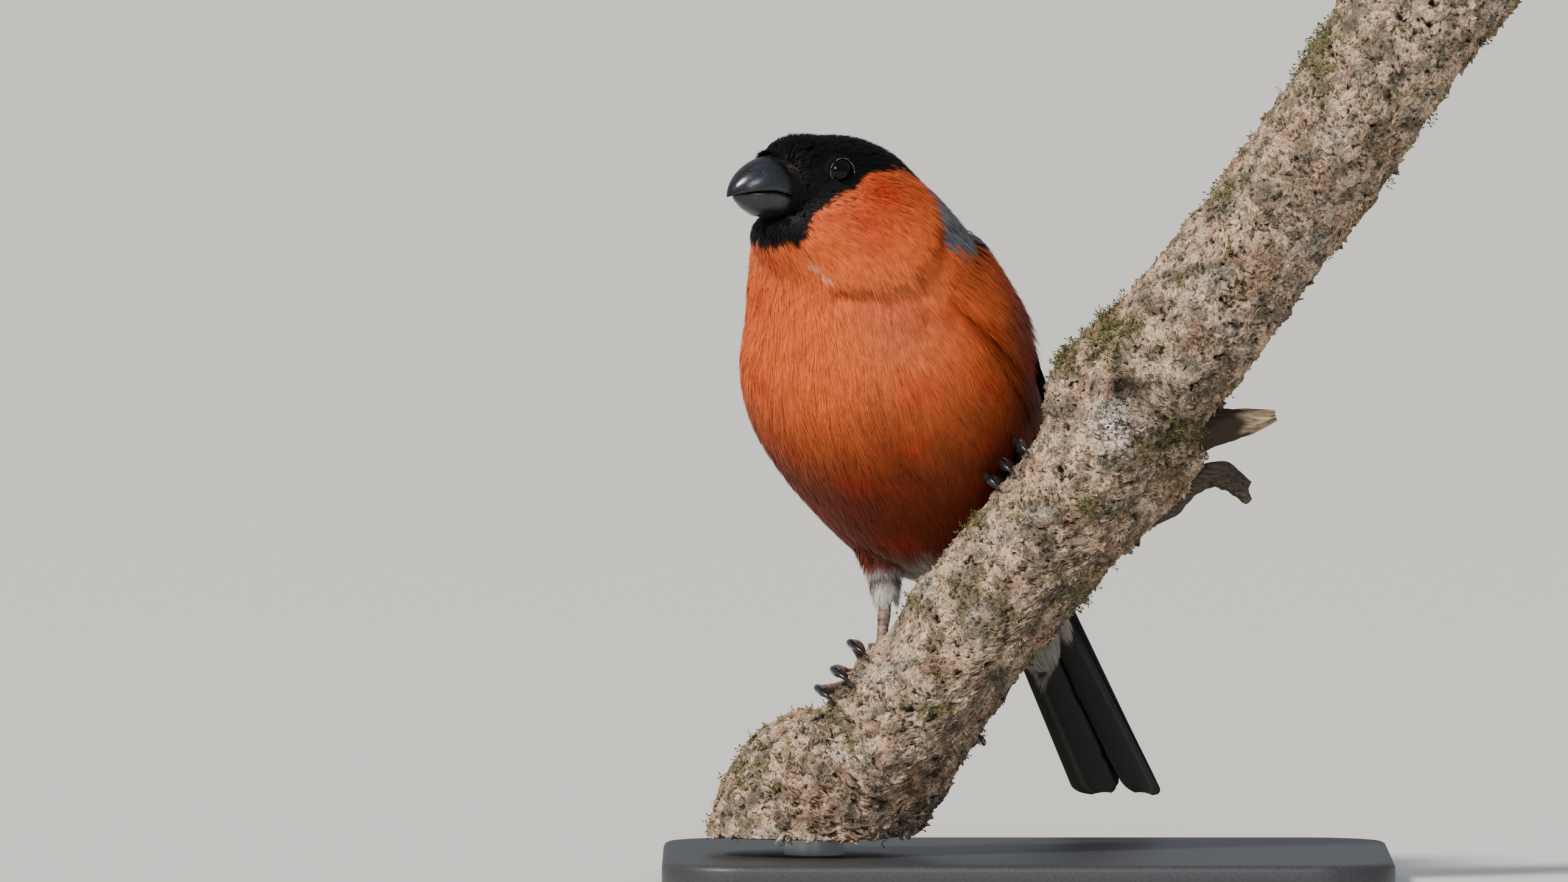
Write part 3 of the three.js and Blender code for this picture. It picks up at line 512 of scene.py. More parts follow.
def bird_skin():
    """Skin under the coat: soft and matt, in the plumage's own colours, grained like down and darkened as
    painted shade in the gaps between the tufts.
    """
    nodes = Surface("down_covered_skin")
    down = nodes.grain(1400.0, 3.0)
    # Painted shade: the skin, seen only between the tufts, is darkened to 0.6 to 0.95 of the plumage's
    # colour.
    color = nodes.scaled(nodes.mark("marking", "Color"), nodes.remap(down, 0.6, 0.95))
    return nodes.finish(color, 0.9, nodes.bump(down, 0.6, 0.0002), Specular_IOR_Level=0.1)


def vane_keratin(name, gloss):
    """Flight and covert vanes: blue-black keratin, barbs ruled slantwise each side of a shaft."""
    nodes = Surface(name)
    slant = nodes.math("ABSOLUTE", nodes.mark("across"))
    phase = nodes.math("MULTIPLY_ADD", slant, BARB_SLANT, nodes.mark("down"))
    barbs = nodes.math("SINE", nodes.math("MULTIPLY", phase, 2 * math.pi / BARB_SPACING))
    worn = nodes.remap(nodes.grain(900.0, 3.0), 0.75, 1.3, 0.3, 0.7)
    shade = nodes.math("MULTIPLY", nodes.remap(barbs, 0.72, 1.15, -1.0), worn)
    color = nodes.scaled(nodes.mark("marking", "Color"), shade)
    return nodes.finish(color, gloss, nodes.bump(barbs, 0.35, 0.00006), Specular_IOR_Level=0.22)


def bill_horn():
    """Bill: blue-black keratin horn, satin with a polish near the tip, scratched and dusted."""
    nodes = Surface("blue_black_horn")
    horn = nodes.tint(nodes.grain(380.0, 5.0), (0.3, "#07080b"), (0.55, "#10131a"), (0.75, "#222834"))
    specks = nodes.remap(nodes.cells(2300.0), 1.0, 0.0, 0.1, 0.2)
    dust = nodes.math("MULTIPLY", specks, nodes.remap(nodes.grain(700.0), 0.0, 1.0, 0.56, 0.68))
    rough = nodes.math("MULTIPLY_ADD", dust, 0.5, nodes.remap(nodes.mark("along"), 0.46, 0.2))
    scratches = nodes.bump(nodes.grain(1900.0, 4.0), 0.3, 0.0001)
    return nodes.finish(nodes.over(horn, "#7d734f", dust), rough, scratches, Specular_IOR_Level=0.6)


def eye_cornea():
    """Eye: a wet clear cornea over a dark brown iris and a black pupil."""
    nodes = Surface("wet_dark_eye")
    ring = nodes.tint(nodes.mark("polar"), (0.0, "#020203"), (0.2, "#020203"), (0.235, "#1f120c"),
                      (0.34, "#2a1810"), (0.42, "#120a08"), (0.5, "#050506"))
    color = nodes.scaled(ring, nodes.remap(nodes.grain(3000.0), 0.7, 1.3))
    return nodes.finish(color, 0.05, Specular_IOR_Level=0.2)


def lid_skin(name, code, rough):
    """Lid rims and their beads: thin matt skin, finely wrinkled."""
    nodes = Surface(name)
    grain = nodes.grain(2600.0)
    color = nodes.scaled(linear(code), nodes.remap(grain, 0.6, 1.4))
    return nodes.finish(color, rough, nodes.bump(grain, 0.5, 0.0001), Specular_IOR_Level=0.12)


def scaly_leg():
    """Feet: dry horny scales, pinkish brown with greyer blotches, dark between the scales."""
    nodes = Surface("scaly_foot_skin")
    tint = nodes.tint(nodes.grain(500.0, 4.0), (0.3, "#4d332a"), (0.5, "#805f50"), (0.7, "#a8958b"))
    color = nodes.scaled(tint, nodes.remap(nodes.mark("plate"), 0.45, 1.1))
    return nodes.finish(color, 0.55, nodes.bump(nodes.cells(1900.0), 0.5, 0.0001))


def claw_horn():
    """Claws: black horn worn glossy, faintly uneven."""
    nodes = Surface("glossy_claw_horn")
    grain = nodes.grain(1500.0, 3.0)
    color = nodes.tint(grain, (0.35, "#060607"), (0.75, "#26262a"))
    return nodes.finish(color, 0.2, nodes.bump(grain, 0.15, 0.0001), Specular_IOR_Level=0.6)


def bark():
    """Bark of a deciduous branch: flaking plates, pinkish beige over grey, with painted shade in the cracks
    and pits, at each layer's foot, in the fine grain's low places and round the knot.
    """
    nodes = Surface("flaking_bark")
    fine = nodes.grain(1500.0, 6.0, Roughness=0.65)
    # Fine layers of bark, about 1.5 mm across: the flat steps of a noise, with painted shade at each step's
    # foot.
    levels = nodes.math("MULTIPLY", nodes.grain(330.0, 4.0, Roughness=0.6, Distortion=0.6), 12.0)
    layer = nodes.math("FLOOR", levels)
    step_foot = nodes.remap(nodes.math("FRACT", levels), 1.0, 0.0, 0.8, 1.0)
    hashed = nodes.add("ShaderNodeTexWhiteNoise", {"W": layer}, "Color", noise_dimensions="1D")
    each = nodes.add("ShaderNodeSeparateColor", {0: hashed}).node.outputs
    tone = nodes.math("MULTIPLY_ADD", each[0], 0.45, nodes.math("MULTIPLY", nodes.mark("flake"), 0.55))
    color = nodes.tint(tone, (0.0, "#6a5b4b"), (0.3, "#8f7b65"), (0.5, "#bd9f82"), (0.75, "#dcbd9f"),
                       (1.0, "#a09080"))
    color = nodes.over(color, "#776c5a", nodes.remap(nodes.grain(260.0, 4.0), 0.0, 1.0, 0.45, 0.62))
    color = nodes.over(color, "#bd8468", nodes.math("MULTIPLY", nodes.mark("warm"), each[1]))
    color = nodes.over(color, "#4f5222", nodes.math("MULTIPLY", nodes.mark("moss"), fine))
    # Painted shade: darker where the fine grain, and with it the bump, lies low; darker again in the cracks
    # and pits, at each layer's foot and round the knot, most in its hollow.
    shade = nodes.remap(fine, 0.45, 1.15, 0.3, 0.7)
    cracks = nodes.remap(nodes.mark("crack"), 0.05, 1.25, 0.1, 0.85)
    for part in (cracks, nodes.remap(step_foot, 0.18, 1.0), nodes.remap(nodes.mark("knot"), 1.0, 0.16)):
        shade = nodes.math("MULTIPLY", shade, part)
    spots = nodes.math("MULTIPLY", nodes.remap(fine, 0.0, 1.0, 0.46, 0.54), nodes.mark("lichen"))
    color = nodes.over(nodes.scaled(color, shade), "#e8e5de", spots)
    level = nodes.math("MULTIPLY_ADD", fine, 1.6, nodes.math("MULTIPLY_ADD", step_foot, 0.8, layer))
    return nodes.finish(color, 0.88, nodes.bump(level, 1.0, 0.00028), Specular_IOR_Level=0.2)


def broken_wood(name, pale, dark):
    """Bare wood: splintered fibres, weathered grey brown in the grain, with bark where it is marked."""
    nodes = Surface(name)
    grain = nodes.fibres((300.0, 2400.0, 2400.0), 5.0)
    color = nodes.over(nodes.tint(grain, (0.3, dark), (0.7, pale)), "#3a3026", nodes.mark("barked"))
    return nodes.finish(color, 0.85, nodes.bump(grain, 0.8, 0.0002), Specular_IOR_Level=0.25)


def moss_leaf():
    """Moss: thin leaves, olive with yellower patches."""
    nodes = Surface("cushion_moss")
    color = nodes.tint(nodes.grain(700.0), (0.3, "#34361a"), (0.5, "#57552a"), (0.7, "#827a42"))
    return nodes.finish(color, 0.6, Specular_IOR_Level=0.3)


def powder_coat():
    """Stand base: steel plate with a dark powder coat, in fine pebbles about 0.5 mm across."""
    nodes = Surface("powder_coated_steel")
    peel = nodes.grain(2000.0)
    color = nodes.tint(peel, (0.3, "#2a2b2d"), (0.7, "#36373a"))
    return nodes.finish(color, 0.48, nodes.bump(peel, 0.3, 0.0001))


def brushed_rod():
    """Stand rod: bright steel, brushed round its length."""
    nodes = Surface("brushed_steel")
    brush = nodes.fibres((150.0, 150.0, 9000.0), 3.0)
    rough = nodes.remap(brush, 0.22, 0.45)
    return nodes.finish(rgba("#a9abae"), rough, nodes.bump(brush, 0.1, 0.00005), Metallic=1.0)


def matt_floor(code):
    """Studio floor: pale matt paper."""
    nodes = Surface("pale_studio_paper")
    color = nodes.scaled(linear(code), nodes.remap(nodes.grain(400.0), 0.98, 1.02))
    return nodes.finish(color, 0.9)


# Plumage markings, worked out from places on the bird.
CAP_EDGE = [(-24.5, 3), (-23, -2.6), (-21.7, -2.4), (-17, -1.65), (-12.3, 0.1), (-8.5, 0.4), (-3.8, -0.35),
            (-0.95, -3.4), (2.1, -5.2), (3.7, -7.2), (5.6, -10.7), (6.5, -12), (8.1, -12.7), (9.5, -12.9)]
GREY_LIMIT = [(6, 22), (7.5, 42), (9.5, 54), (12, 62), (15.5, 69), (18, 65), (20.5, 52), (24, 38), (84, 36)]
VENT_START = [(0, 70), (60, 75), (95, 70), (112, 66), (130, 65), (142, 68), (152, 66.5), (165, 64), (180, 64)]
RUMP_WHITE = "#e0deda"
THROAT_STREAK = [(3.8, 30.3), (7.2, 27.2)]
# The neck's crease, as x and z: the skin lies deeper along it, and painted shade darkens the plumage there.
NECK_FOLD = [(8.5, 25.6), (15, 25.0), (20.5, 26.4), (24.2, 30), (25.2, 35)]


def near_line(points, line, reach):
    """1 on a line drawn in the photograph's plane, fading to 0 within its reach."""
    away = np.full(points.shape[:-1], 99.0)
    for start, end in zip(np.array(line[:-1]), np.array(line[1:])):
        offset = points[..., [0, 2]] - start
        share = np.clip(offset @ (end - start) / dot(end - start, end - start), 0, 1)
        away = np.minimum(away, np.linalg.norm(offset - share[..., None] * (end - start), axis=-1))
    return np.exp(-(away / reach) ** 2) * (points[..., 1] < 14)


def markings(points, mm, angle, colours):
    """Linear colours of the plumage at places on the form, with painted shade over the lower body, the flanks
    and the neck's crease.
    """
    ahead, up, _ = local(points, HEAD_PLACE, HEAD)
    along, _, _ = local(points, BODY_PLACE, BODY)
    from_back = np.abs((np.asarray(angle) + 180) % 360 - 180)
    ragged = ripple(points, 2.2, 3) * 0.35 + ripple(points, 0.9, 4) * 0.2

    vent = smoothstep(mm + 2.5 * ripple(points, 5, 7) - ramp(from_back, VENT_START), -3, 4)
    behind_eye = (ahead + 6) ** 2 / 22 + (up + 3.4) ** 2 / 12
    below_eye = (ahead + 1.5) ** 2 / 8 + (up + 7.5) ** 2 / 3
    worn = ((points[..., 0] - 19) ** 2 + (points[..., 2] - 19) ** 2) / 50
    # Each colour lies over those before it: its code and how much of it shows at every place.
    layers = [
        # The deep red of the lower body: partly its own colour, partly painted shade.
        (colours.belly_and_shade, 0.95 * smoothstep(along, 22, -5)),
        (colours.belly_and_shade, 0.45 * smoothstep(ripple(points, 16, 5), 0.1, 0.9) * smoothstep(along, 26, 6)),
        # Painted shade: the same dark red over both flanks, from the neck back.
        (colours.belly_and_shade, 0.75 * smoothstep(mm, 26, 40) * smoothstep(from_back, 112, 74)),
        (colours.cheek, 0.85 * np.exp(-behind_eye)),
        (colours.cheek, 0.6 * np.exp(-below_eye)),
        (colours.cheek, 0.4 * smoothstep(ripple(points, 7, 6), 0.2, 1.0)),
        ("#e2a88c", 0.65 * near_line(points, THROAT_STREAK, 0.4)),
        # Painted shade along the neck's crease.
        ("#451a10", 0.75 * near_line(points, NECK_FOLD, 0.9) * (0.5 + 0.5 * ripple(points, 1.1, 9))),
        ("#b07258", 0.3 * np.exp(-worn)),
        (colours.vent, vent),
        ("#77726c", vent * 0.4 * (0.5 + 0.5 * ripple(points, 3, 8))),
        (colours.mantle, smoothstep(ramp(mm, GREY_LIMIT) - from_back + 9 * ragged, -2, 3) * (mm > 5)),
        (RUMP_WHITE, smoothstep(mm + 2 * ragged, 69, 73) * smoothstep(70 - from_back, 0, 8)),
        (colours.wing, smoothstep(mm + 3 * ragged, 84, 87) * smoothstep(72 - from_back, 0, 8)),
        (colours.cap, smoothstep(up - ramp(ahead, CAP_EDGE) + ragged * 1.2, -0.25, 0.25) * (mm < 15)),
    ]
    coat = np.broadcast_to(linear(colours.breast), points.shape)
    for code, share in layers:
        coat = mix(coat, linear(code), np.clip(share, 0, 1)[..., None])
    return coat


def form_rows(step):
    """Rows of the form from the crown, along the spine, and round the end under the tail."""
    crown = np.arange(90, 0, -2.5)
    spine = np.linspace(0, SPINE_LENGTH, round(SPINE_LENGTH / step) + 1)
    end = np.arange(-6, -91, -6)
    mm = np.concatenate([np.zeros(len(crown)), spine, np.full(len(end), SPINE_LENGTH)])
    lean = np.concatenate([crown, np.zeros(len(spine)), end]).astype(float)
    return mm, lean


def folds(points):
    """How much deeper the skin lies at the bill's base and in the neck's crease."""
    ahead, up, _ = local(points, HEAD_PLACE, HEAD)
    at_bill = 1.3 * smoothstep(ahead, 3.0, 6.5) * smoothstep(up, 2.0, 0.0) * smoothstep(up, -9.5, -7.5)
    return at_bill + 1.1 * near_line(points, NECK_FOLD, 1.2)


class FormGrid:
    """The form's places on a grid of rows and angles, at one depth in the coat."""

    def __init__(self, grow, columns=180, step=0.8, bed=1.0):
        self.mm, self.lean = form_rows(step)
        self.angle = np.arange(columns) * 360.0 / columns
        mm, angle, lean = self.mm[:, None], self.angle[None, :], self.lean[:, None]
        points = form_points(mm, angle, grow, lean=lean, bed=bed)
        self.points = form_points(mm, angle, grow - folds(points), lean=lean, bed=bed)
        rows = np.linalg.norm(np.diff(self.points, axis=0), axis=-1).mean(axis=1)
        self.unwrapped = np.concatenate([[0], np.cumsum(rows)]) / rows.sum()

    def areas(self):
        """Area of each cell, from its first corner's two sides."""
        right = np.roll(self.points, -1, axis=1)
        a = right[:-1] - self.points[:-1]
        b = self.points[1:] - self.points[:-1]
        return np.linalg.norm(np.cross(a, b), axis=-1)

    def at(self, row, column):
        """Place, mm, angle and height on the unwrap at fractional rows and columns."""
        i = np.clip(row.astype(int), 0, len(self.mm) - 2)
        j = column.astype(int) % len(self.angle)
        k = (j + 1) % len(self.angle)
        v, u = (row - i)[:, None], (column - np.floor(column))[:, None]
        low = mix(self.points[i, j], self.points[i, k], u)
        high = mix(self.points[i + 1, j], self.points[i + 1, k], u)
        v = v[:, 0]
        mm = mix(self.mm[i], self.mm[i + 1], v)
        unwrapped = mix(self.unwrapped[i], self.unwrapped[i + 1], v)
        return mix(low, high, v[:, None]), mm, column * 360.0 / len(self.angle), unwrapped


BILL_BASE = place(HEAD_PLACE, HEAD, 8.0, -3.0, 0)


def lie_of_coat(points, normals, mm):
    """Direction in which feathers lie: away from the bill on the head, towards the tail behind it."""
    away = points - BILL_BASE
    distance = np.linalg.norm(away, axis=-1)
    tailward = -spine_frame(mm / SPINE_LENGTH).axis
    flow = mix(unit(away), tailward, smoothstep(distance, 9, 30)[..., None])
    flow = flow - dot(flow, normals)[..., None] * normals
    return unit(flow)


def tuft_shape(shape, rng, roots, flow, normals, look, colours, unwrap, follow=True, size=1.0, fuller=0.0):
    """Adds tufts of tapered barbs: each barb is a thin blade of three triangles.

    look holds the tufts' length, half_width, lift and rise and the barbs' breadth, in millimetres,
    the count of barbs, the contrast between tufts and, in degrees, how untidy they lie. With follow
    the tufts bend round the form; fuller raises them and size scales them.
    """
    count = look["count"]
    total = len(roots)
    length = look["length"] * rng.uniform(0.75, 1.2, total) * size
    swirl = np.radians(8 * ripple(roots, 6.5, 11) + rng.normal(0, look.get("untidy", 5), total))
    side = np.cross(normals, flow)
    flow = unit(flow * np.cos(swirl)[:, None] + side * np.sin(swirl)[:, None])
    stations = (0.0, 0.45, 1.0)
    start_level = outside(roots) if follow else np.zeros(total)
    spine, up = [], []
    for s in stations:
        centre = roots + flow * (length * s)[:, None]
        rise = (look["rise"] + look["lift"] * rng.uniform(0.4, 1.3, total)) * np.sqrt(size) + fuller
        target = rise * s**0.4
        if follow:
            lean_out = form_normal(centre)
            centre = centre + lean_out * (start_level + target - outside(centre))[:, None]
        else:
            lean_out = normals
            centre = centre + normals * target[:, None]
        spine.append(centre)
        up.append(lean_out)
    barb_at = np.linspace(-1, 1, count)[None, :] + rng.normal(0, 0.12, (total, count))
    reach = (1 - 0.25 * barb_at**2) * rng.uniform(0.8, 1.1, (total, count))
    twist = rng.normal(0, 0.35, (total, count))
    width = look["barb"] * 0.5 * rng.uniform(0.7, 1.3, (total, count))
    corners, outward, patches = [], [], []
    u0, v0 = unwrap
    for s, centre, lean_out in zip(stations, spine, up):
        across = unit(np.cross(lean_out, flow))
        fan = look["half_width"] * (0.3 + 0.7 * s)
        middle = roots[:, None] + (centre - roots)[:, None] * reach[..., None]
        middle = middle + across[:, None] * (barb_at * fan)[..., None]
        middle = middle + lean_out[:, None] * (0.06 * s * rng.normal(0, 1, (total, count)))[..., None]
        edge = across[:, None] * np.cos(twist)[..., None] + lean_out[:, None] * np.sin(twist)[..., None]
        soft = unit(lean_out[:, None] + 0.25 * edge * barb_at[..., None] + 0.1 * rng.normal(0, 1, edge.shape))
        slot = (np.arange(count)[None, :] + 0.5) / count
        for sign in ((1, -1) if s < 1 else (0,)):
            corners.append(middle + edge * (width * (0.7 if s == 0 else 1.0) * sign)[..., None])
            outward.append(soft)
            u = u0[:, None] + (slot - 0.5 + 0.35 * sign / count) * BAKE_PATCH
            v = v0[:, None] + (s - 0.5) * BAKE_PATCH + np.zeros((1, count))
            patches.append(np.stack([u, v], axis=-1))
    points = np.stack(corners, axis=2).reshape(-1, 3)
    shape.normals.append(np.stack(outward, axis=2).reshape(-1, 3))
    first = np.arange(total * count)[:, None, None] * BARB_POINTS
    faces = (first + np.array([[[0, 1, 2], [1, 3, 2], [2, 3, 4]]])).reshape(-1, 3)
    tone = np.clip(rng.normal(1, look["contrast"], (total, 1)), 0.5, 1.5)
    tone = tone * rng.uniform(0.84, 1.16, (total, count))
    shape.add(
        points, faces,
        patch=np.clip(np.stack(patches, axis=2).reshape(-1, 2), 0, 1),
        marking=np.repeat(colours, count * BARB_POINTS, axis=0),
        along=np.tile([0, 0, stations[1], stations[1], 1.0], total * count),
        tone=np.repeat(tone.reshape(-1), BARB_POINTS),
    )


def eye_distance(points):
    """Distance from an eye's axis, or far away for places near the middle of the head."""
    ahead, up, left = local(points, HEAD_PLACE, HEAD)
    return np.where(np.abs(left) > 4, np.hypot(ahead, up), 99.0)


def scatter(rng, grid, weights, total):
    """Random places on a grid, as often in each cell as its weight says."""
    flat = weights.ravel()
    cells = rng.choice(len(flat), total, p=flat / flat.sum())
    row = cells // weights.shape[1] + rng.uniform(0, 1, total)
    column = cells % weights.shape[1] + rng.uniform(0, 1, total)
    return grid.at(row, column)


# Coat regions: rows in mm behind the head, degrees from the back, tufts per square millimetre and
# each tuft's look in millimetres. Crown tufts come from the rows in front of the spine's start.
REGIONS = {
    "coat_crown": dict(mm=(-9, 0.01), angle=(0, 180), density=6.2, look=dict(
        length=2.1, half_width=0.42, barb=0.085, lift=0.0, rise=1.2, count=9, contrast=0.03, untidy=3)),
    "coat_face": dict(mm=(0, 13), angle=(0, 180), density=5.1, look=dict(
        length=3.2, half_width=0.55, barb=0.1, lift=0.1, rise=1.15, count=9, contrast=0.05)),
    "coat_neck": dict(mm=(12, 26), angle=(0, 180), density=3.6, look=dict(
        length=5.0, half_width=0.7, barb=0.11, lift=0.15, rise=1.25, count=10, contrast=0.06)),
    "coat_breast": dict(mm=(25, 48), angle=(84, 180), density=2.7, look=dict(
        length=6.2, half_width=0.85, barb=0.115, lift=0.12, rise=1.3, count=11, contrast=0.06)),
    "coat_belly": dict(mm=(47, 61), angle=(78, 180), density=2.8, look=dict(
        length=6.8, half_width=0.95, barb=0.115, lift=0.15, rise=1.3, count=11, contrast=0.06)),
    "coat_belly_low": dict(mm=(60, 74), angle=(78, 180), density=2.8, look=dict(
        length=6.5, half_width=0.95, barb=0.115, lift=0.15, rise=1.3, count=11, contrast=0.08)),
    "coat_vent": dict(mm=(72, 200), angle=(60, 180), density=2.4, look=dict(
        length=6.5, half_width=0.8, barb=0.11, lift=0.1, rise=1.2, count=10, contrast=0.04, untidy=3)),
    "coat_rump": dict(mm=(60, 200), angle=(0, 62), density=2.4, look=dict(
        length=7.0, half_width=1.0, barb=0.13, lift=0.2, rise=1.3, count=10, contrast=0.08)),
    "coat_mantle": dict(mm=(24, 62), angle=(0, 16), density=2.6, look=dict(
        length=7.0, half_width=1.0, barb=0.13, lift=0.4, rise=1.5, count=10, contrast=0.08)),
}

# Long tufts that lie over the edges of the folded wings, rooted on the form above the wing's bed.
WING_EDGES = {
    "coat_scapulars": dict(mm=(22, 50), angle=(8, 25), density=2.4, look=dict(
        length=8.5, half_width=1.1, barb=0.14, lift=0.5, rise=2.1, count=10, contrast=0.08)),
    "coat_shoulders": dict(mm=(20, 37), angle=(24, 88), density=3.4, look=dict(
        length=6.5, half_width=0.9, barb=0.115, lift=0.25, rise=2.2, count=11, contrast=0.06)),
    "coat_flanks": dict(mm=(32, 66), angle=(79, 92), density=3.2, look=dict(
        length=8.0, half_width=0.9, barb=0.12, lift=0.15, rise=0.9, count=11, contrast=0.07)),
}


def region_weights(grid, region):
    """Cell areas inside a region; the bill's and eyes' own places stay free."""
    mm = np.where(grid.mm > 0, grid.mm, -grid.lean / 10.0)[:-1, None]
    from_back = np.abs((grid.angle + 180) % 360 - 180)[None, :]
    low, high = region["mm"]
    inside = (mm >= low) & (mm < high)
    inside = inside & (from_back >= region["angle"][0]) & (from_back <= region["angle"][1])
    weights = grid.areas() * inside
    points = grid.points[:-1]
    ahead, up, left = local(points, HEAD_PLACE, HEAD)
    at_bill = (ahead > 6.5) & (up > -8.2) & (up < billridge(ahead) - 0.5) & (np.abs(left) < 5.2)
    in_bed = wing_bed(grid.mm[:-1, None], from_back) > 2.2
    weights = weights * (1 + 2.5 * smoothstep(eye_distance(points), 4.2, 2.6))
    weights[eye_distance(points) < 2.25] = 0
    weights[at_bill] = 0
    if region in REGIONS.values():
        weights[in_bed] = 0
    return weights


def billridge(ahead):
    """Height of the bill's ridge above the head's own axis."""
    s = np.clip((ahead - BILL_START) / (BILL_TIP - BILL_START), 0, 1)
    return -5 + 7.6 * (1 - s**2.3) ** 0.6


MOUTH = [(5, -4.5), (7, -4.2), (10, -3.6), (13, -3.8), (15.5, -4.35), (16.7, -5)]
KEEL = [(5, -8.2), (8, -8.2), (11.4, -7.9), (13.4, -6.9), (15, -5.6), (15.6, -4.9)]


def bill_half(tip, widest, outer, lowered):
    """One half of the bill: rounded outside, flat along the mouth, with a rolled cutting edge."""
    steps = np.concatenate([np.linspace(0, 0.9, 34), 1 - 0.1 * np.linspace(1, 0, 14)[1:] ** 1.6])
    turn = np.linspace(0, math.pi, 41)
    ahead = mix(BILL_START, tip, steps)[:, None]
    mouth = ramp(ahead, MOUTH) - lowered
    s = (ahead - BILL_START) / (tip - BILL_START)
    half = widest * np.maximum(1 - s**2.4, 0) ** 0.7
    rise = np.sin(turn)[None, :] ** 0.8 * (outer(ahead) - mouth)
    outside_wall = place(HEAD_PLACE, HEAD, ahead + 0 * turn, mouth + rise, half * np.cos(turn))
    back = np.linspace(-1, 1, 21)[1:-1]
    floor_wall = place(HEAD_PLACE, HEAD, ahead + 0 * back, mouth + 0 * back, half * back)
    grid = np.concatenate([outside_wall, floor_wall], axis=1)
    return grid, np.broadcast_to(s, grid.shape[:2])


# Curves and tubes.
def resample(points, count, smooth=True):
    """Evenly spaced places on a smooth curve through a few points."""
    points = np.asarray(points, float)
    if smooth and len(points) > 2:
        points = catmull(points, np.linspace(0, 1, 40 * len(points)))[0]
    reach = np.concatenate([[0], np.cumsum(np.linalg.norm(np.diff(points, axis=0), axis=1))])
    at = np.linspace(0, reach[-1], count)
    return np.stack([np.interp(at, reach, points[:, k]) for k in range(3)], axis=1)


def catmull(points, t):
    """Places and directions on a uniform Catmull-Rom curve, as the part's source draws it."""
    points = np.asarray(points, float)
    padded = np.concatenate([[2 * points[0] - points[1]], points, [2 * points[-1] - points[-2]]])
    spot = np.clip(np.asarray(t, float), 0, 1) * (len(points) - 1)
    i = np.minimum(spot.astype(int), len(points) - 2)
    w = (spot - i)[..., None]
    p0, p1, p2, p3 = (padded[i + k] for k in range(4))
    m1, m2 = 0.5 * (p2 - p0), 0.5 * (p3 - p1)
    c2 = -3 * p1 + 3 * p2 - 2 * m1 - m2
    c3 = 2 * p1 - 2 * p2 + m1 + m2
    return p1 + m1 * w + c2 * w**2 + c3 * w**3, unit(m1 + 2 * c2 * w + 3 * c3 * w**2)


def tube_grid(path, radii, sides, squash=1.0):
    """Rings of a tube along a path; squash flattens it towards its lower side."""
    ahead = unit(np.gradient(path, axis=0))
    up = np.array([0.0, 0.0, 1.0]) if abs(ahead[len(path) // 2][1]) > 0.9 else np.array([0.0, 1.0, 0.0])
    side = unit(np.cross(up, ahead))
    over = np.cross(ahead, side)
    turn = np.linspace(0, 2 * math.pi, sides, endpoint=False)
    radii = np.asarray(radii)
    radii = radii[:, None] if radii.ndim == 1 else radii
    ring = side[:, None] * np.cos(turn)[None, :, None] + squash * over[:, None] * np.sin(turn)[None, :, None]
    return path[:, None] + ring * radii[..., None]


# The branch: its centre line in the plane y = 0, and its radius at the same points.
PERCH_LINE = [
    (4, -76, 16.3), (4.2, -66, 16.6), (8, -58.5, 15.6), (16, -51.5, 12.4), (28.1, -34.3, 11.5),
    (40.6, -18.8, 11.3), (51.9, -4.7, 12), (57.3, 6.2, 13.4), (64.5, 15.8, 12), (78.5, 34, 11.1),
    (91, 50.8, 11.4), (103.4, 68.9, 11.8), (113.1, 81.6, 12),
]
SWELLINGS = [
    (0.585, -88, 2.2, 5), (0.545, 168, 2.4, 5.5), (0.56, 20, 1.3, 5),
    (0.16, 35, 1.6, 8), (0.31, -120, 0.9, 7), (0.8, -60, 0.8, 6),
]
KNOT_AT, KNOT_ROUND, KNOT_REACH = 0.594, -80, 2.5

# On the branch's front, as x and z: the dent beside the right shank and the pale lichen.
DENT_AT, LICHEN_AT = (25.5, -36.5), (54, 2.5)

# The broken stub's line, and the line and radii of each of the twig's prongs.
STUB_LINE = [(64, -1, 0.6), (79.5, -1.5, 4)]
TWIG_STEMS = (
    ([(56, 2, -13), (62, 2, -11), (66.5, 2.5, -7.2), (71.5, 3, -5.4), (76.5, 3, -7.6)],
     [(0, 2.6), (0.4, 2.3), (0.8, 1.9), (1, 0.9)]),
    ([(70, 2.8, -5.8), (74, 1.8, -7.4), (76.4, 1, -10)], [(0, 1.5), (0.7, 1.3), (1, 0.7)]),
)

# Moss cushions in the photograph: x, z and reach.
MOSS_SPOTS = [
    (86.5, 64.5, 3.2), (53.3, 18.5, 2.6), (45, 14.5, 2.0), (72, 40, 1.4), (31, -13, 1.3), (29, -24, 1.5),
    (64, -5, 1.6), (38, -12, 1.2), (22, -27, 1.2), (50, -10, 1.2), (60, -1, 1.5), (24, -44, 1.5),
    (66, 2, 2.0), (8, -45, 1.3), (48, -24, 2.0), (36, -28, 1.2),
]


def perch_centre(t):
    return catmull([(x, 0, z) for x, z, _ in PERCH_LINE], t)


def bump_on_perch(middle, angle, radius, at, around, reach):
    """A rounded mound's height at places on the bark, 1 in its middle."""
    along = np.linalg.norm(perch_centre(at)[0] - middle, axis=-1)
    apart = np.abs((angle - around + 540) % 360 - 180)
    across = np.radians(apart) * radius
    return np.exp(-(along**2 + across**2) / (2 * reach**2))


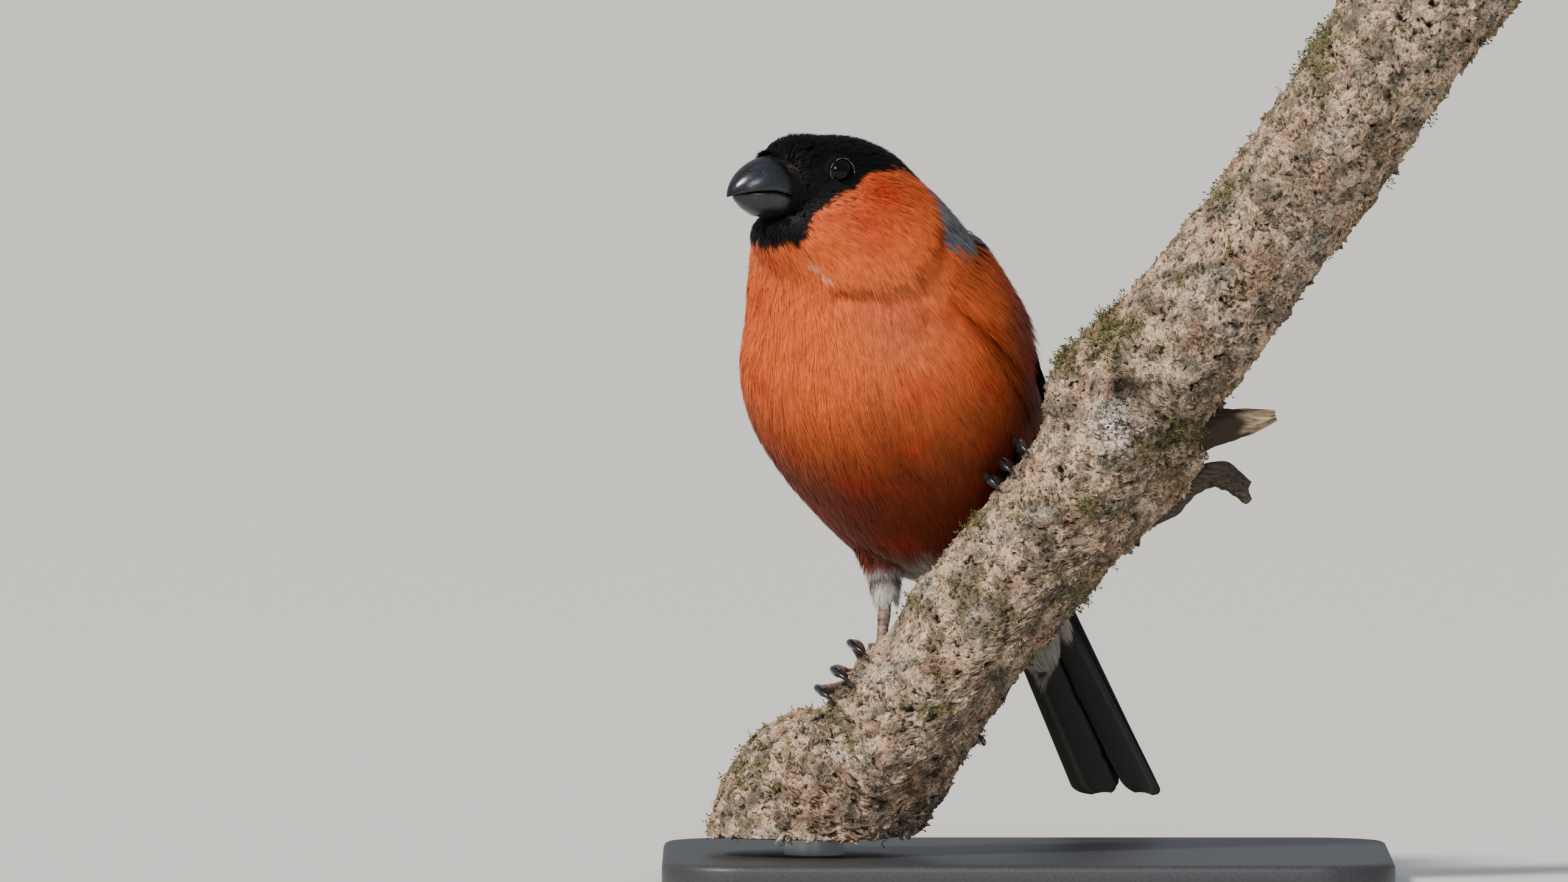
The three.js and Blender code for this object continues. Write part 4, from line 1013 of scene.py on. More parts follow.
def perch_radius(t, angle):
    stations = [(i / (len(PERCH_LINE) - 1), r) for i, (_, _, r) in enumerate(PERCH_LINE)]
    radius = ramp(t, stations)
    turn = np.radians(angle)
    radius = radius + 0.35 * np.sin(3 * turn + 23 * t) + 0.25 * np.sin(5 * turn - 41 * t + 1)
    middle = perch_centre(t)[0]
    for at, around, height, reach in SWELLINGS:
        radius = radius + height * bump_on_perch(middle, angle, radius, at, around, reach)
    return radius


def perch_point(t, angle, height=0.0):
    """A place over the bark: angle 0 is the upper side, 90 the far side."""
    t, angle, height = np.broadcast_arrays(*(np.asarray(v, float) for v in (t, angle, height)))
    middle, ahead = perch_centre(t)
    upper = np.stack([-ahead[..., 2], 0 * t, ahead[..., 0]], axis=-1)
    reach = (perch_radius(t, angle) + height)[..., None]
    turn = np.radians(angle)[..., None]
    return middle + upper * reach * np.cos(turn) + np.array([0.0, 1.0, 0.0]) * reach * np.sin(turn)


def perch_parameter(along):
    t = np.linspace(0.2, 1, 2000)
    rise = math.radians(BRANCH_RISE)
    reach = perch_centre(t)[0] @ np.array([math.cos(rise), 0, math.sin(rise)])
    return np.interp(along, reach, t)


# Legs, as in the part's source.
LEGS = {
    "right": dict(
        pad=-22.5,
        thigh=[place(BODY_PLACE, BODY, -16, -9, -7), (16.4, 22.6, -20.5), (16.9, 21.6, -27.4)],
        radii=[(0, 7.2), (0.5, 4.4), (0.7, 3.2), (0.88, 2.5), (1, 1.9)],
        heel=np.array([16.6, 21.0, -28.6]),
        toes=[(-20.3, 133), (-18.6, 2), (-23.8, -4), (-28.4, 0)]),
    "left": dict(
        pad=19,
        thigh=[place(BODY_PLACE, BODY, -12, -8, 8), (37, 18, -10.6), (41.6, 16.6, -12.6)],
        radii=[(0, 6.2), (0.6, 4.0), (0.85, 2.6), (1, 1.6)],
        heel=np.array([42.4, 16.6, -12.8]),
        toes=[(20.6, 133), (15.2, 2), (18.6, -4), (23, 0)]),
}


def toe_path(leg, toe, count=56):
    along, end = toe
    v = np.linspace(0, 1, count)
    at = perch_parameter(mix(leg["pad"], along, smoothstep(v, 0, 0.8)))
    return perch_point(at, mix(PAD_ANGLE, end, v), TOE_HEIGHT + 0.3 * v)


def claw_path(toe, count=30):
    along, end = toe
    v = np.linspace(0, 1, count)
    turn = math.copysign(1, end - PAD_ANGLE)
    height = TOE_HEIGHT + 0.3 + CLAW_ARCH * v * (1 - v) - 1.1 * v
    return perch_point(perch_parameter(along), end + turn * (0.6 + (CLAW_SWEEP + 1.3) * v), height)


# Wing and tail vanes.
def wing_edges(mm):
    """Degrees from the back at which the folded wing's upper and lower edges lie."""
    upper = ramp(mm, [(26, 24), (44, 13), (78, 11), (104, 11)])
    lower = ramp(mm, [(26, 58), (36, 69), (50, 75), (78, 66), (104, 50)])
    return upper, lower


def closed_sheet(shape, point, columns, rows, **values):
    """A thin closed vane: point(u, v, face) gives its inner face at 0 and its outer face at 1."""
    u, v = np.meshgrid(np.linspace(0, 1, columns), rows, indexing="xy")
    inner, outer = point(u, v, 0), point(u, v, 1)
    ring = np.concatenate([outer, inner[:, ::-1]], axis=1)
    shade = {key: np.concatenate([value(u, v), value(u, v)[:, ::-1]], axis=1) if callable(value) else value
             for key, value in values.items()}
    wide = ring.shape[1]
    faces = grid_faces(len(rows), wide)
    ends = []
    for row, turned in ((0, True), (len(rows) - 1, False)):
        for i in range(columns - 1):
            a, b = row * wide + i, row * wide + i + 1
            d, c = row * wide + wide - 1 - i, row * wide + wide - 2 - i
            quad = [(a, b, c), (a, c, d)]
            ends.extend([tri[::-1] for tri in quad] if turned else quad)
    faces = facing_out(ring.reshape(-1, 3) - ring.reshape(-1, 3).mean(axis=0), np.concatenate([faces, ends]))
    shape.add(ring, faces, **shade)


def vane_outline(v, tip_start):
    """A vane's share of its full width: narrow at the root and round at the tip."""
    root = np.minimum(1, 0.45 + 1.6 * v)
    over = np.clip((v - tip_start) / (1 - tip_start), 0, 1)
    return root * np.sqrt(np.maximum(1 - over**2, 0.02))


def wing_vane(shape, side, rng, vane, tint):
    """One vane of the folded wing, cambered, with a raised shaft and a few splits in its edge."""
    phase, splits = rng.uniform(0, 6.28), rng.uniform(0.04, 0.22)

    def point(u, v, face):
        mm = mix(vane["root"], vane["tip"], v)
        upper, lower = wing_edges(mm)
        middle = form_points(mm[:, :1], 45 * side, 0, WING_SUPPORT)
        radius = np.linalg.norm(middle - spine_point(mm[:, :1] / SPINE_LENGTH), axis=-1)
        spread = vane.get("fan", 0) * smoothstep(mm, 62, 96)
        gap = (lower - upper) / (vane["count"] * (1 - spread))
        spacing = radius * np.radians(gap)
        breadth = np.minimum(vane["width"], 2.6 * spacing)
        ragged = splits * np.maximum(0, np.sin(v * 19 + phase)) ** 6 * (u > 0.6)
        inset = (1 - vane_outline(v, vane["tip_start"])) / 2
        from_lower = mix(1 - inset - ragged, inset, u) * breadth
        edge = mix(upper, lower, (vane["share"] - spread) / (1 - spread))
        angle = np.maximum(edge - np.degrees(from_lower / radius), upper - 4)
        fall = FLIGHT_STEP * (edge - angle) / gap
        lift = mix(vane["lift"][0], vane["lift"][1], smoothstep(v, 0, 0.35)) + FLIGHT_STEP * breadth / spacing
        camber = 0.22 * (1 - (2 * u - 1) ** 2) + 0.14 * np.exp(-((u - VANE_SHAFT) / 0.05) ** 2) * (1 - v)
        thick = 0.16 * (1 - 0.7 * v)
        return form_points(mm, angle * side, lift - fall + camber + face * thick, WING_SUPPORT)

    rows = np.concatenate([np.linspace(0, vane["tip_start"], vane["rows"]),
                           np.linspace(vane["tip_start"], 1, 9)[1:]])
    span = abs(vane["tip"] - vane["root"])
    closed_sheet(shape, point, 11, rows, marking=tint,
                 across=lambda u, v: (u - VANE_SHAFT) * vane["width"], down=lambda u, v: v * span)


def flight_vanes(_):
    """Flight feathers from the innermost tertial to the outermost primary."""
    vanes = []
    for i in range(3):
        vanes.append(dict(root=50 - i, tip=70 + 3 * i, tip_start=0.7, rows=12, kind="tertial"))
    for i in range(6):
        vanes.append(dict(root=46 - 0.5 * i, tip=79 + 0.6 * i, tip_start=0.82, rows=14, kind="secondary"))
    for i, tip in enumerate((84, 86.5, 89, 91.5, 93.5, 95, 95.5, 93)):
        vanes.append(dict(root=42 - 0.7 * i, tip=tip, tip_start=0.86, rows=18, kind="primary",
                          fan=WING_TIP_FAN))
    for i, vane in enumerate(vanes):
        vane.update(share=(i + 1) / len(vanes), count=len(vanes), width=5.4, lift=(0.1, 0.5))
    return vanes


COVERT_TIERS = [
    dict(count=10, root=39, tip=54, lift=(0.5, 2.0), kind="greater", width=5.2),
    dict(count=10, root=34.5, tip=45, lift=(0.5, 2.1), kind="median", width=4.6),
    dict(count=10, root=30.5, tip=39.5, lift=(0.4, 2.0), kind="lesser", width=4.2),
    dict(count=9, root=28, tip=35, lift=(0.3, 1.8), kind="lesser", width=4.0),
]


def covert_vanes(rng):
    """Tiers of coverts, and the four that lie over the primaries' roots."""
    vanes = []
    for tier in COVERT_TIERS:
        for i in range(tier["count"]):
            vane = dict(tier, share=(i + 1) / tier["count"], tip_start=0.5, rows=8)
            vane["tip"] = tier["tip"] + rng.uniform(-0.6, 0.6)
            vanes.append(vane)
    for i in range(4):
        vanes.append(dict(root=35, tip=60 - 2.4 * i, lift=(0.7, 1.5), kind="primary_covert", width=3.6,
                          share=0.86 + 0.045 * i, count=14, tip_start=0.7, rows=10))
    return vanes


def vane_tint(kind, colours, rng):
    """Colour function of a vane over its breadth u and length v."""
    dark = linear(colours.wing) * rng.uniform(0.85, 1.2)
    pale = linear(colours.wing_bar)
    mantle = linear(colours.mantle)

    def tint(u, v):
        base = np.broadcast_to(dark, u.shape + (3,))
        shaft = np.exp(-((u - VANE_SHAFT) / 0.035) ** 2)[..., None]
        base = mix(base, linear("#2c2622"), 0.7 * shaft)
        if kind == "greater":
            return mix(base, pale, smoothstep(v + 0.05 * np.sin(9 * u), 0.7, 0.78)[..., None])
        if kind == "lesser":
            return mix(mix(base, mantle, 0.85), mantle * 0.8, smoothstep(v, 0.7, 1)[..., None])
        if kind == "median":
            return mix(base, mantle, 0.4 * smoothstep(v, 0.5, 0.9)[..., None])
        if kind == "primary":
            rim = smoothstep(u, 0.03, 0.0)[..., None]
            return mix(base, linear("#4a4744"), 0.5 * rim)
        return base

    return tint


def tail_vane(shape, side, pair, rng, colours):
    """One tail feather: pair 0 lies on top, and each later pair lower and farther out."""
    length = TAIL_LENGTH + 0.5 * pair
    height = TAIL_TOP - TAIL_STEP * pair
    shaft_at = 0.45 if pair < 4 else 0.75
    phase, splits = rng.uniform(0, 6.28), rng.uniform(0.1, 0.4)

    def point(u, v, face):
        outer = mix(4 + 0.4 * pair, 4.3 + 0.85 * pair, v)
        inner = np.maximum(outer - 8, -1.3 if side > 0 else 0.15)
        over = np.clip((v - 0.95) / 0.05, 0, 1)
        narrow = (1 - np.sqrt(np.maximum(1 - over * over, 0.05))) * 0.45
        ragged = splits * np.maximum(0, np.sin(v * 26 + phase)) ** 8 * (u < 0.2)
        across = mix(mix(inner, outer, narrow * 0.6) + ragged, mix(inner, outer, 1 - narrow), u)
        droop = 0.018 * across * across
        ridge = 0.22 * np.exp(-((u - shaft_at) / 0.035) ** 2) * (1 - 0.8 * v)
        camber = 0.25 * (1 - (2 * u - 1) ** 2)
        thick = 0.18 * (1 - 0.6 * v)
        level = height + 0.2 * (side > 0) - droop + camber + face * thick + (ridge if face else -ridge)
        return place(TAIL_ROOT, TAIL, -mix(6, length, v), level, across * side)

    rows = np.concatenate([np.linspace(0, 0.95, 30), np.linspace(0.95, 1, 9)[1:]])
    dark = linear(colours.wing) * rng.uniform(0.9, 1.3)

    def tint(u, v):
        base = np.broadcast_to(dark, u.shape + (3,))
        return mix(base, linear("#3b3532"), 0.8 * np.exp(-((u - shaft_at) / 0.03) ** 2)[..., None])

    closed_sheet(shape, point, 13, rows, marking=tint,
                 across=lambda u, v: (u - shaft_at) * 8, down=lambda u, v: v * length)


# Values that a user would change.
def colour(name, where, code):
    return bpy.props.StringProperty(name=name, description=f"sRGB hex colour of {where}", default=code)


def number(name, meaning, default, **limits):
    return bpy.props.FloatProperty(name=name, description=meaning, default=default, **limits)


def seed(meaning, default):
    return bpy.props.IntProperty(name="Seed", description=meaning, default=default)


class BULLFINCH_PG_plumage(bpy.types.PropertyGroup):
    cap: colour("Cap", "the cap and bib", "#050507")
    breast: colour("Breast", "the breast", "#e56c33")
    cheek: colour("Cheek", "the cheeks", "#c2301a")
    # Partly the lower underside's own deeper red, partly painted shade over the lower body and flanks.
    belly_and_shade: colour("Belly", "the belly", "#783420")
    vent: colour("Vent", "the vent", "#d2cbc0")
    mantle: colour("Mantle", "the back", "#7d7f85")
    wing: colour("Wing", "the wings and the tail", "#070708")
    wing_bar: colour("Wing bar", "the bar on the wing", "#a3a09e")
    coat_depth: number("Coat depth", "Millimetres from the skin to the tips", 1.3, min=0.5, max=3)
    fullness: number("Fullness", "Share of the full number of tufts", 1.0, min=0.05, max=1.5)
    seed: seed("Seed of every random draw in the coat", 7)


class BULLFINCH_PG_branch(bpy.types.PropertyGroup):
    plate: number("Plate", "Breadth of a bark plate, in metres", 0.0024, unit="LENGTH")
    relief: number("Relief", "Depth of the cracks, in metres", 0.0010, unit="LENGTH")
    flakes: number("Flakes", "Loose flakes per square metre", 330000.0)
    moss: number("Moss", "Moss shoots per square metre", 900000.0)
    seed: seed("Seed of the flakes and the moss", 5)


class BULLFINCH_PG_studio(bpy.types.PropertyGroup):
    distance: number("Camera distance", "From the camera to the bird, in metres", 4.5, unit="LENGTH")
    pitch: number("Camera pitch", "How far the camera looks down", math.radians(2), subtype="ANGLE")
    floor: colour("Floor", "the floor", "#d9d7d2")
    key: number("Key light", "Strength of the sun from the upper left", 4.6)
    catch: number("Catch light", "Power of the soft light over the camera, in watts", 9.0)
    fill: number("Fill light", "Strength of the soft light all round", 0.45)


class BULLFINCH_OT_skin(bpy.types.Operator):
    """One skin for head, neck, body and thighs, inside the CAD flesh by the coat's depth"""
    bl_idname = "bullfinch.skin"
    bl_label = "Skin"

    def execute(self, context):
        colours = context.scene.bullfinch_plumage
        grid = FormGrid(-colours.coat_depth, columns=SKIN_COLUMNS, step=SKIN_STEP)
        mm = np.broadcast_to(grid.mm[:, None], grid.points.shape[:2])
        angle = np.broadcast_to(grid.angle[None, :], grid.points.shape[:2])
        patch = np.stack(np.broadcast_arrays(grid.angle[None, :] / 360, grid.unwrapped[:, None]), axis=-1)
        shape = Shape()
        shape.add_grid(grid.points, marking=markings(grid.points, mm, angle, colours), patch=patch)
        for leg in LEGS.values():
            path = resample(leg["thigh"], 40)
            radii = ramp(np.linspace(0, 1, 40), leg["radii"]) - THIGH_COAT
            tube = tube_grid(path, radii, 28)
            ends = tube.mean(axis=1, keepdims=True) + 0 * tube
            tube = np.concatenate([ends[:1], tube, ends[-1:]])
            shape.add_grid(tube, marking=np.broadcast_to(linear(colours.vent), tube.shape),
                           patch=np.zeros(tube.shape[:2] + (2,)))
        piece("skin", shape, bird_skin(), "orange_feathers",
              "head", "neck", "torso", "thigh_left", "thigh_right")
        return {"FINISHED"}


class BULLFINCH_OT_coat(bpy.types.Operator):
    """Tufts of barbs over the whole body, lying from the bill towards the tail"""
    bl_idname = "bullfinch.coat"
    bl_label = "Coat"

    def execute(self, context):
        colours = context.scene.bullfinch_plumage
        material = feather_barbs()
        skin_grid = FormGrid(-colours.coat_depth)
        edge_grid = FormGrid(-0.4, bed=0.0)
        fullness = colours.fullness * 1.0
        for number, (name, region) in enumerate({**REGIONS, **WING_EDGES}.items()):
            rng = np.random.default_rng(colours.seed + number)
            grid = edge_grid if name in WING_EDGES else skin_grid
            weights = region_weights(grid, region)
            most = MOST_TRIANGLES // (BARB_TRIANGLES * region["look"]["count"])
            total = min(most, int(weights.sum() * region["density"] * fullness))
            roots, mm, angle, height = scatter(rng, grid, weights, total)
            normals = form_normal(roots)
            flow = lie_of_coat(roots, normals, mm)
            spread = (height - height.min()) / max(np.ptp(height), 1e-6)
            unwrap = (mix(BAKE_PATCH, 1 - BAKE_PATCH, angle / 360), mix(BAKE_PATCH, 1 - BAKE_PATCH, spread))
            length = region["look"]["length"]
            size = mix(SMALLEST_TUFT, 1.0, smoothstep(np.linalg.norm(roots - BILL_BASE, axis=-1), 4.5, 11))
            size = np.minimum(size, np.maximum(eye_distance(roots) - EYE_EDGE, 0.2) * 1.25 / length)
            clear = np.minimum(eye_distance(roots + flow * (0.5 * length * size)[:, None]),
                               eye_distance(roots + flow * (length * size)[:, None])) > EYE_CLEAR
            kept = (v[clear] for v in (roots, normals, flow, mm, angle, size, *unwrap))
            roots, normals, flow, mm, angle, size, *unwrap = kept
            middle = roots + flow * (0.5 * length * size)[:, None]
            middle_mm = mm + np.where(mm > 0, 0.5 * length * size, 0)
            tint = markings(middle, middle_mm, angle, colours)
            ahead, up, _ = local(roots, HEAD_PLACE, HEAD)
            fuller = (0.1 + 0.55 * smoothstep(ahead, 0, 5)) * smoothstep(up, 1.5, 4) * smoothstep(mm, 20, 10)
            coat = Shape()
            tuft_shape(coat, rng, roots, flow, normals, region["look"], tint, unwrap,
                       size=size, fuller=fuller)
            piece(name, coat, material, "orange_feathers")
        self.thighs(colours, material)
        self.bristles(colours, material)
        self.undertail(colours, material)
        return {"FINISHED"}

    def undertail(self, colours, material):
        """Long white coverts spread under the root of the tail."""
        coat = Shape()
        rng = np.random.default_rng(colours.seed + 70)
        look = dict(length=6.5, half_width=1.0, barb=0.14, lift=0.1, rise=0.9, count=10, contrast=0.03,
                    untidy=2)
        total = UNDERTAIL_TUFTS
        behind = rng.uniform(2, 20, total)
        across = rng.uniform(-1, 1.15, total) * ramp(behind, [(2, 7.6), (14, 7.6), (20, 6.6)])
        roots = place(TAIL_ROOT, TAIL, -behind, 0.4 - 0.03 * across**2 - 0.02 * (20 - behind), across)
        normals = unit(place(0 * TAIL_ROOT, TAIL, 0 * across, -1 + 0 * across, 0.06 * across))
        flow = unit(place(0 * TAIL_ROOT, TAIL, -1 + 0 * across, 0 * across, -0.012 * across))
        tint = np.broadcast_to(linear(colours.vent), roots.shape)
        unwrap = (across / 16 + 0.5, behind / 21)
        tuft_shape(coat, rng, roots, flow, normals, look, tint, unwrap, follow=False)
        piece("coat_undertail", coat, material, "dark_feathers")

    def thighs(self, colours, material):
        """White feathers down each shank, with a dark ring of painted shade above the heel."""
        coat = Shape()
        rng = np.random.default_rng(colours.seed + 50)
        look = dict(length=2.6, half_width=0.5, barb=0.1, lift=0.2, rise=0.5, count=9, contrast=0.06)
        for leg in LEGS.values():
            path = resample(leg["thigh"], 60)
            total = THIGH_TUFTS
            along = rng.uniform(0.15, 0.97, total)
            turn = rng.uniform(0, 2 * math.pi, total)
            tube = tube_grid(path, ramp(np.linspace(0, 1, 60), leg["radii"]) - THIGH_COAT, 64)
            row = (along * 58).astype(int)
            column = (turn / (2 * math.pi) * 64).astype(int) % 64
            roots = tube[row, column]
            normals = unit(roots - path[row])
            flow = unit(np.gradient(path, axis=0))[row]
            # Painted shade: a dark ring round the thigh just above the heel.
            shade_band = np.exp(-((along - 0.79 - 0.05 * np.sin(turn)) / 0.05) ** 2)
            warm = smoothstep(along, 0.72, 0.6)
            tint = np.broadcast_to(linear(colours.vent), roots.shape)
            tint = mix(tint, linear("#29201d"), 0.85 * shade_band[:, None])
            tint = mix(tint, linear(colours.belly_and_shade), warm[:, None])
            unwrap = (turn / 6.3 * 0.99, along * 0.99)
            tuft_shape(coat, rng, roots, flow, normals, look, tint, unwrap, follow=False)
        piece("coat_thighs", coat, material, "thigh_feathers")

    def bristles(self, colours, material):
        """Short bristles round the base of the bill, pointing forwards over it and down from the chin."""
        coat = Shape()
        rng = np.random.default_rng(colours.seed + 60)
        look = dict(length=1.5, half_width=0.25, barb=0.06, lift=0.1, rise=0.15, count=4, contrast=0.1,
                    untidy=6)
        total = BRISTLES
        turn = rng.uniform(math.radians(-250), math.radians(70), total)
        turn = np.where(rng.uniform(0, 1, total) < 0.3, math.pi / 2 + 0.5 * rng.normal(0, 1, total), turn)
        ahead = 6.0 + 2.0 * smoothstep(np.sin(turn), 0.2, 1.0) + rng.uniform(-1.2, 0.5, total)
        up = -3.2 + 5.6 * np.sin(turn)
        left = 5.2 * np.cos(turn)
        roots = place(HEAD_PLACE, HEAD, ahead, up, left)
        normals = unit(place(0 * HEAD_PLACE, HEAD, 0.3 + 0 * turn, np.sin(turn), np.cos(turn)))
        flow = unit(place(0 * HEAD_PLACE, HEAD, 1 + 0 * turn, 0.3 * np.sin(turn), 0.3 * np.cos(turn)))
        dusty = (rng.uniform(0, 1, total) > 0.6) * np.exp(-((np.sin(turn) - 0.6) / 0.16) ** 2)
        tint = mix(np.broadcast_to(linear(colours.cap), roots.shape), linear("#5a4c34"), 0.7 * dusty[:, None])
        unwrap = (turn / 6.3 * 0.99, rng.uniform(0, 0.99, total))
        tuft_shape(coat, rng, roots, flow, normals, look, tint, unwrap, follow=False)
        piece("coat_bristles", coat, material, "black_cap")


def face_width(ahead, up, side, level):
    """How far out from the head's middle the form's side lies at a depth in the coat."""
    near, far = np.zeros(np.shape(ahead)), np.full(np.shape(ahead), 16.0)
    for _ in range(16):
        half = (near + far) / 2
        inside = outside(place(HEAD_PLACE, HEAD, ahead, up, half * side)) < level
        near, far = np.where(inside, half, near), np.where(inside, far, half)
    return far


class BULLFINCH_OT_eyes(bpy.types.Operator):
    """Eyeballs with pupil and iris, dark lids, and the ring of pale beads round each eye"""
    bl_idname = "bullfinch.eyes"
    bl_label = "Eyes"

    def execute(self, context):
        cornea = eye_cornea()
        rim = lid_skin("dark_lid_skin", "#040405", 0.8)
        beads = lid_skin("pale_lid_beads", "#b3a994", 0.6)
        for name, side in (("left", 1), ("right", -1)):
            polar = np.linspace(0, math.pi, 41)[:, None]
            turn = np.linspace(0, 2 * math.pi, 64, endpoint=False)[None, :] * side
            out = EYE_OUT + EYE_RADIUS * np.cos(polar) + 0 * turn
            ball = place(HEAD_PLACE, HEAD, EYE_RADIUS * np.sin(polar) * np.cos(turn),
                         EYE_RADIUS * np.sin(polar) * np.sin(turn), out * side)
            shape = Shape()
            shape.add_grid(ball, polar=polar / math.pi * np.ones_like(turn))
            piece(f"eyeball_{name}", shape, cornea, "eye", f"eye_{name}")
            self.lid(name, side, rim)
            self.bead_ring(name, side, beads)
        return {"FINISHED"}

    def ring_path(self, side, radius, count):
        turn = np.linspace(0, 2 * math.pi, count, endpoint=False)
        almond = 1 + 0.06 * np.cos(2 * turn)
        return place(HEAD_PLACE, HEAD, radius * almond * np.cos(turn), radius * np.sin(turn),
                     (EYE_OUT + math.sqrt(EYE_RADIUS**2 - LID_RADIUS**2) + 0.25 + 0 * turn) * side)

    def lid(self, name, side, material):
        """Skin round the eyeball: it rolls over at the rim and runs out under the face's feathers."""
        turn = np.linspace(0, 2 * math.pi, LID_COLUMNS, endpoint=False)
        rim = self.ring_path(side, LID_RADIUS, LID_COLUMNS)
        ahead, up, _ = local(rim, HEAD_PLACE, HEAD)
        rows = []
        for reach, height in LID_PROFILE:
            wide = 1 + reach / LID_RADIUS
            crease = 0.05 * np.sin(9 * turn + 5 * reach) * (reach > 0.1)
            shift = (ahead * (wide - 1), up * (wide - 1), (height + crease) * side)
            rows.append(rim + place(0 * HEAD_PLACE, HEAD, *shift))
        for reach in (1.1, 1.7, 2.3):
            wide = 1 + reach / LID_RADIUS
            out = face_width(ahead * wide, up * wide, side, -1.3) - 0.12 * reach
            rows.append(place(HEAD_PLACE, HEAD, ahead * wide, up * wide, out * side))
        faces = grid_faces(len(rows), LID_COLUMNS)
        shape = Shape()
        shape.add(np.stack(rows), faces if side > 0 else faces[:, ::-1])
        piece(f"lid_{name}", shape, material, "black_cap")

    def bead_ring(self, name, side, material):
        """Beads set round the lid by Geometry Nodes."""
        path = self.ring_path(side, LID_RADIUS + 0.06, BEADS)
        mesh = bpy.data.meshes.new(f"beads_{name}")
        points = (path + HEAD.left * side * 0.12 - WORK_ORIGIN) * MM
        mesh.from_pydata([tuple(p) for p in points], [], [])
        made = linked(f"lid_beads_{name}", mesh)
        realised(made, beads_group(material), Radius=BEAD_RADIUS * MM, Seed=3)
        dressed(made, material, "black_cap")


class Group(Nodes):
    """A geometry node group with a mesh in, a mesh out and named inputs."""

    def __init__(self, name, **inputs):
        super().__init__(bpy.data.node_groups.new(name, "GeometryNodeTree"))
        sockets = self.tree.interface
        sockets.new_socket("Geometry", in_out="INPUT", socket_type="NodeSocketGeometry")
        for key, (kind, default) in inputs.items():
            socket = sockets.new_socket(key, in_out="INPUT", socket_type=f"NodeSocket{kind}")
            socket.default_value = default
        sockets.new_socket("Geometry", in_out="OUTPUT", socket_type="NodeSocketGeometry")
        self.given = self.tree.nodes.new("NodeGroupInput").outputs

    def named(self, name):
        return self.add("GeometryNodeInputNamedAttribute", {"Name": name}, data_type="FLOAT")

    def store(self, geometry, name, value):
        inputs = {"Geometry": geometry, "Name": name, "Value": value}
        return self.add("GeometryNodeStoreNamedAttribute", inputs, data_type="FLOAT")

    def random(self, low, high):
        inputs = {2: low, 3: high, "Seed": self.given["Seed"]}
        return self.add("FunctionNodeRandomValue", inputs, 1, data_type="FLOAT")

    def finish(self, geometry, material, smooth=False):
        made = self.add("GeometryNodeRealizeInstances", {0: geometry})
        if smooth:
            made = self.add("GeometryNodeSetShadeSmooth", {0: made})
        made = self.add("GeometryNodeSetMaterial", {0: made, "Material": material})
        self.add("NodeGroupOutput", {0: made})
        return self.tree


def realised(made, tree, **values):
    """Runs a geometry node group on an object and keeps the result as its plain mesh."""
    modifier = made.modifiers.new(tree.name, "NODES")
    modifier.node_group = tree
    for item in tree.interface.items_tree:
        if item.item_type == "SOCKET" and item.in_out == "INPUT" and item.name in values:
            modifier[item.identifier] = values[item.name]
    bpy.context.view_layer.update()
    evaluated = made.evaluated_get(bpy.context.evaluated_depsgraph_get())
    mesh = bpy.data.meshes.new_from_object(evaluated)
    made.modifiers.clear()
    made.data = mesh


def beads_group(material):
    """Sets a small ball at each place, each with its own size."""
    nodes = Group("LidBeads", Radius=("Float", 0.0001), Seed=("Int", 3))
    points = nodes.add("GeometryNodeMeshToPoints", {"Mesh": nodes.given["Geometry"]})
    bead = nodes.add("GeometryNodeMeshIcoSphere", {"Radius": nodes.given["Radius"], "Subdivisions": 2})
    placed = nodes.add("GeometryNodeInstanceOnPoints",
                       {"Points": points, "Instance": bead, "Scale": nodes.random(0.6, 1.15)})
    return nodes.finish(placed, material, smooth=True)


class BULLFINCH_OT_bill(bpy.types.Operator):
    """Both halves of the stout bill"""
    bl_idname = "bullfinch.bill"
    bl_label = "Bill"

    def execute(self, context):
        horn = bill_horn()
        halves = {
            "upper": bill_half(BILL_TIP, BILL_HALF_WIDTH, billridge, 0.0),
            "lower": bill_half(LOWER_BILL_TIP, BILL_HALF_WIDTH - 0.3, lambda ahead: ramp(ahead, KEEL), 0.22),
        }
        for name, (grid, along) in halves.items():
            shape = Shape()
            grid = np.concatenate([grid[:1].mean(axis=1, keepdims=True) + 0 * grid[:1], grid])
            along = np.concatenate([along[:1], along])
            flat = grid.reshape(-1, 3)
            faces = facing_out(flat - flat.mean(axis=0), grid_faces(*grid.shape[:2]))
            shape.add(flat, faces, along=along)
            piece(f"bill_{name}_horn", shape, horn, "bill", f"bill_{name}")
        return {"FINISHED"}


class BULLFINCH_OT_wings(bpy.types.Operator):
    """Folded wings, vane by vane: flight feathers under tiers of coverts"""
    bl_idname = "bullfinch.wings"
    bl_label = "Wings"

    def execute(self, context):
        colours = context.scene.bullfinch_plumage
        flight = vane_keratin("flight_vane_keratin", 0.42)
        covert = vane_keratin("covert_vane_keratin", 0.55)
        for name, side in (("left", 1), ("right", -1)):
            rng = np.random.default_rng(colours.seed + 80 + side)
            kinds = (("flight", flight_vanes, flight), ("coverts", covert_vanes, covert))
            for kind, vanes, material in kinds:
                shape = Shape()
                for vane in vanes(rng):
                    wing_vane(shape, side, rng, vane, vane_tint(vane["kind"], colours, rng))
                piece(f"wing_{name}_{kind}", shape, material, "dark_feathers", f"wing_{name}")
        return {"FINISHED"}


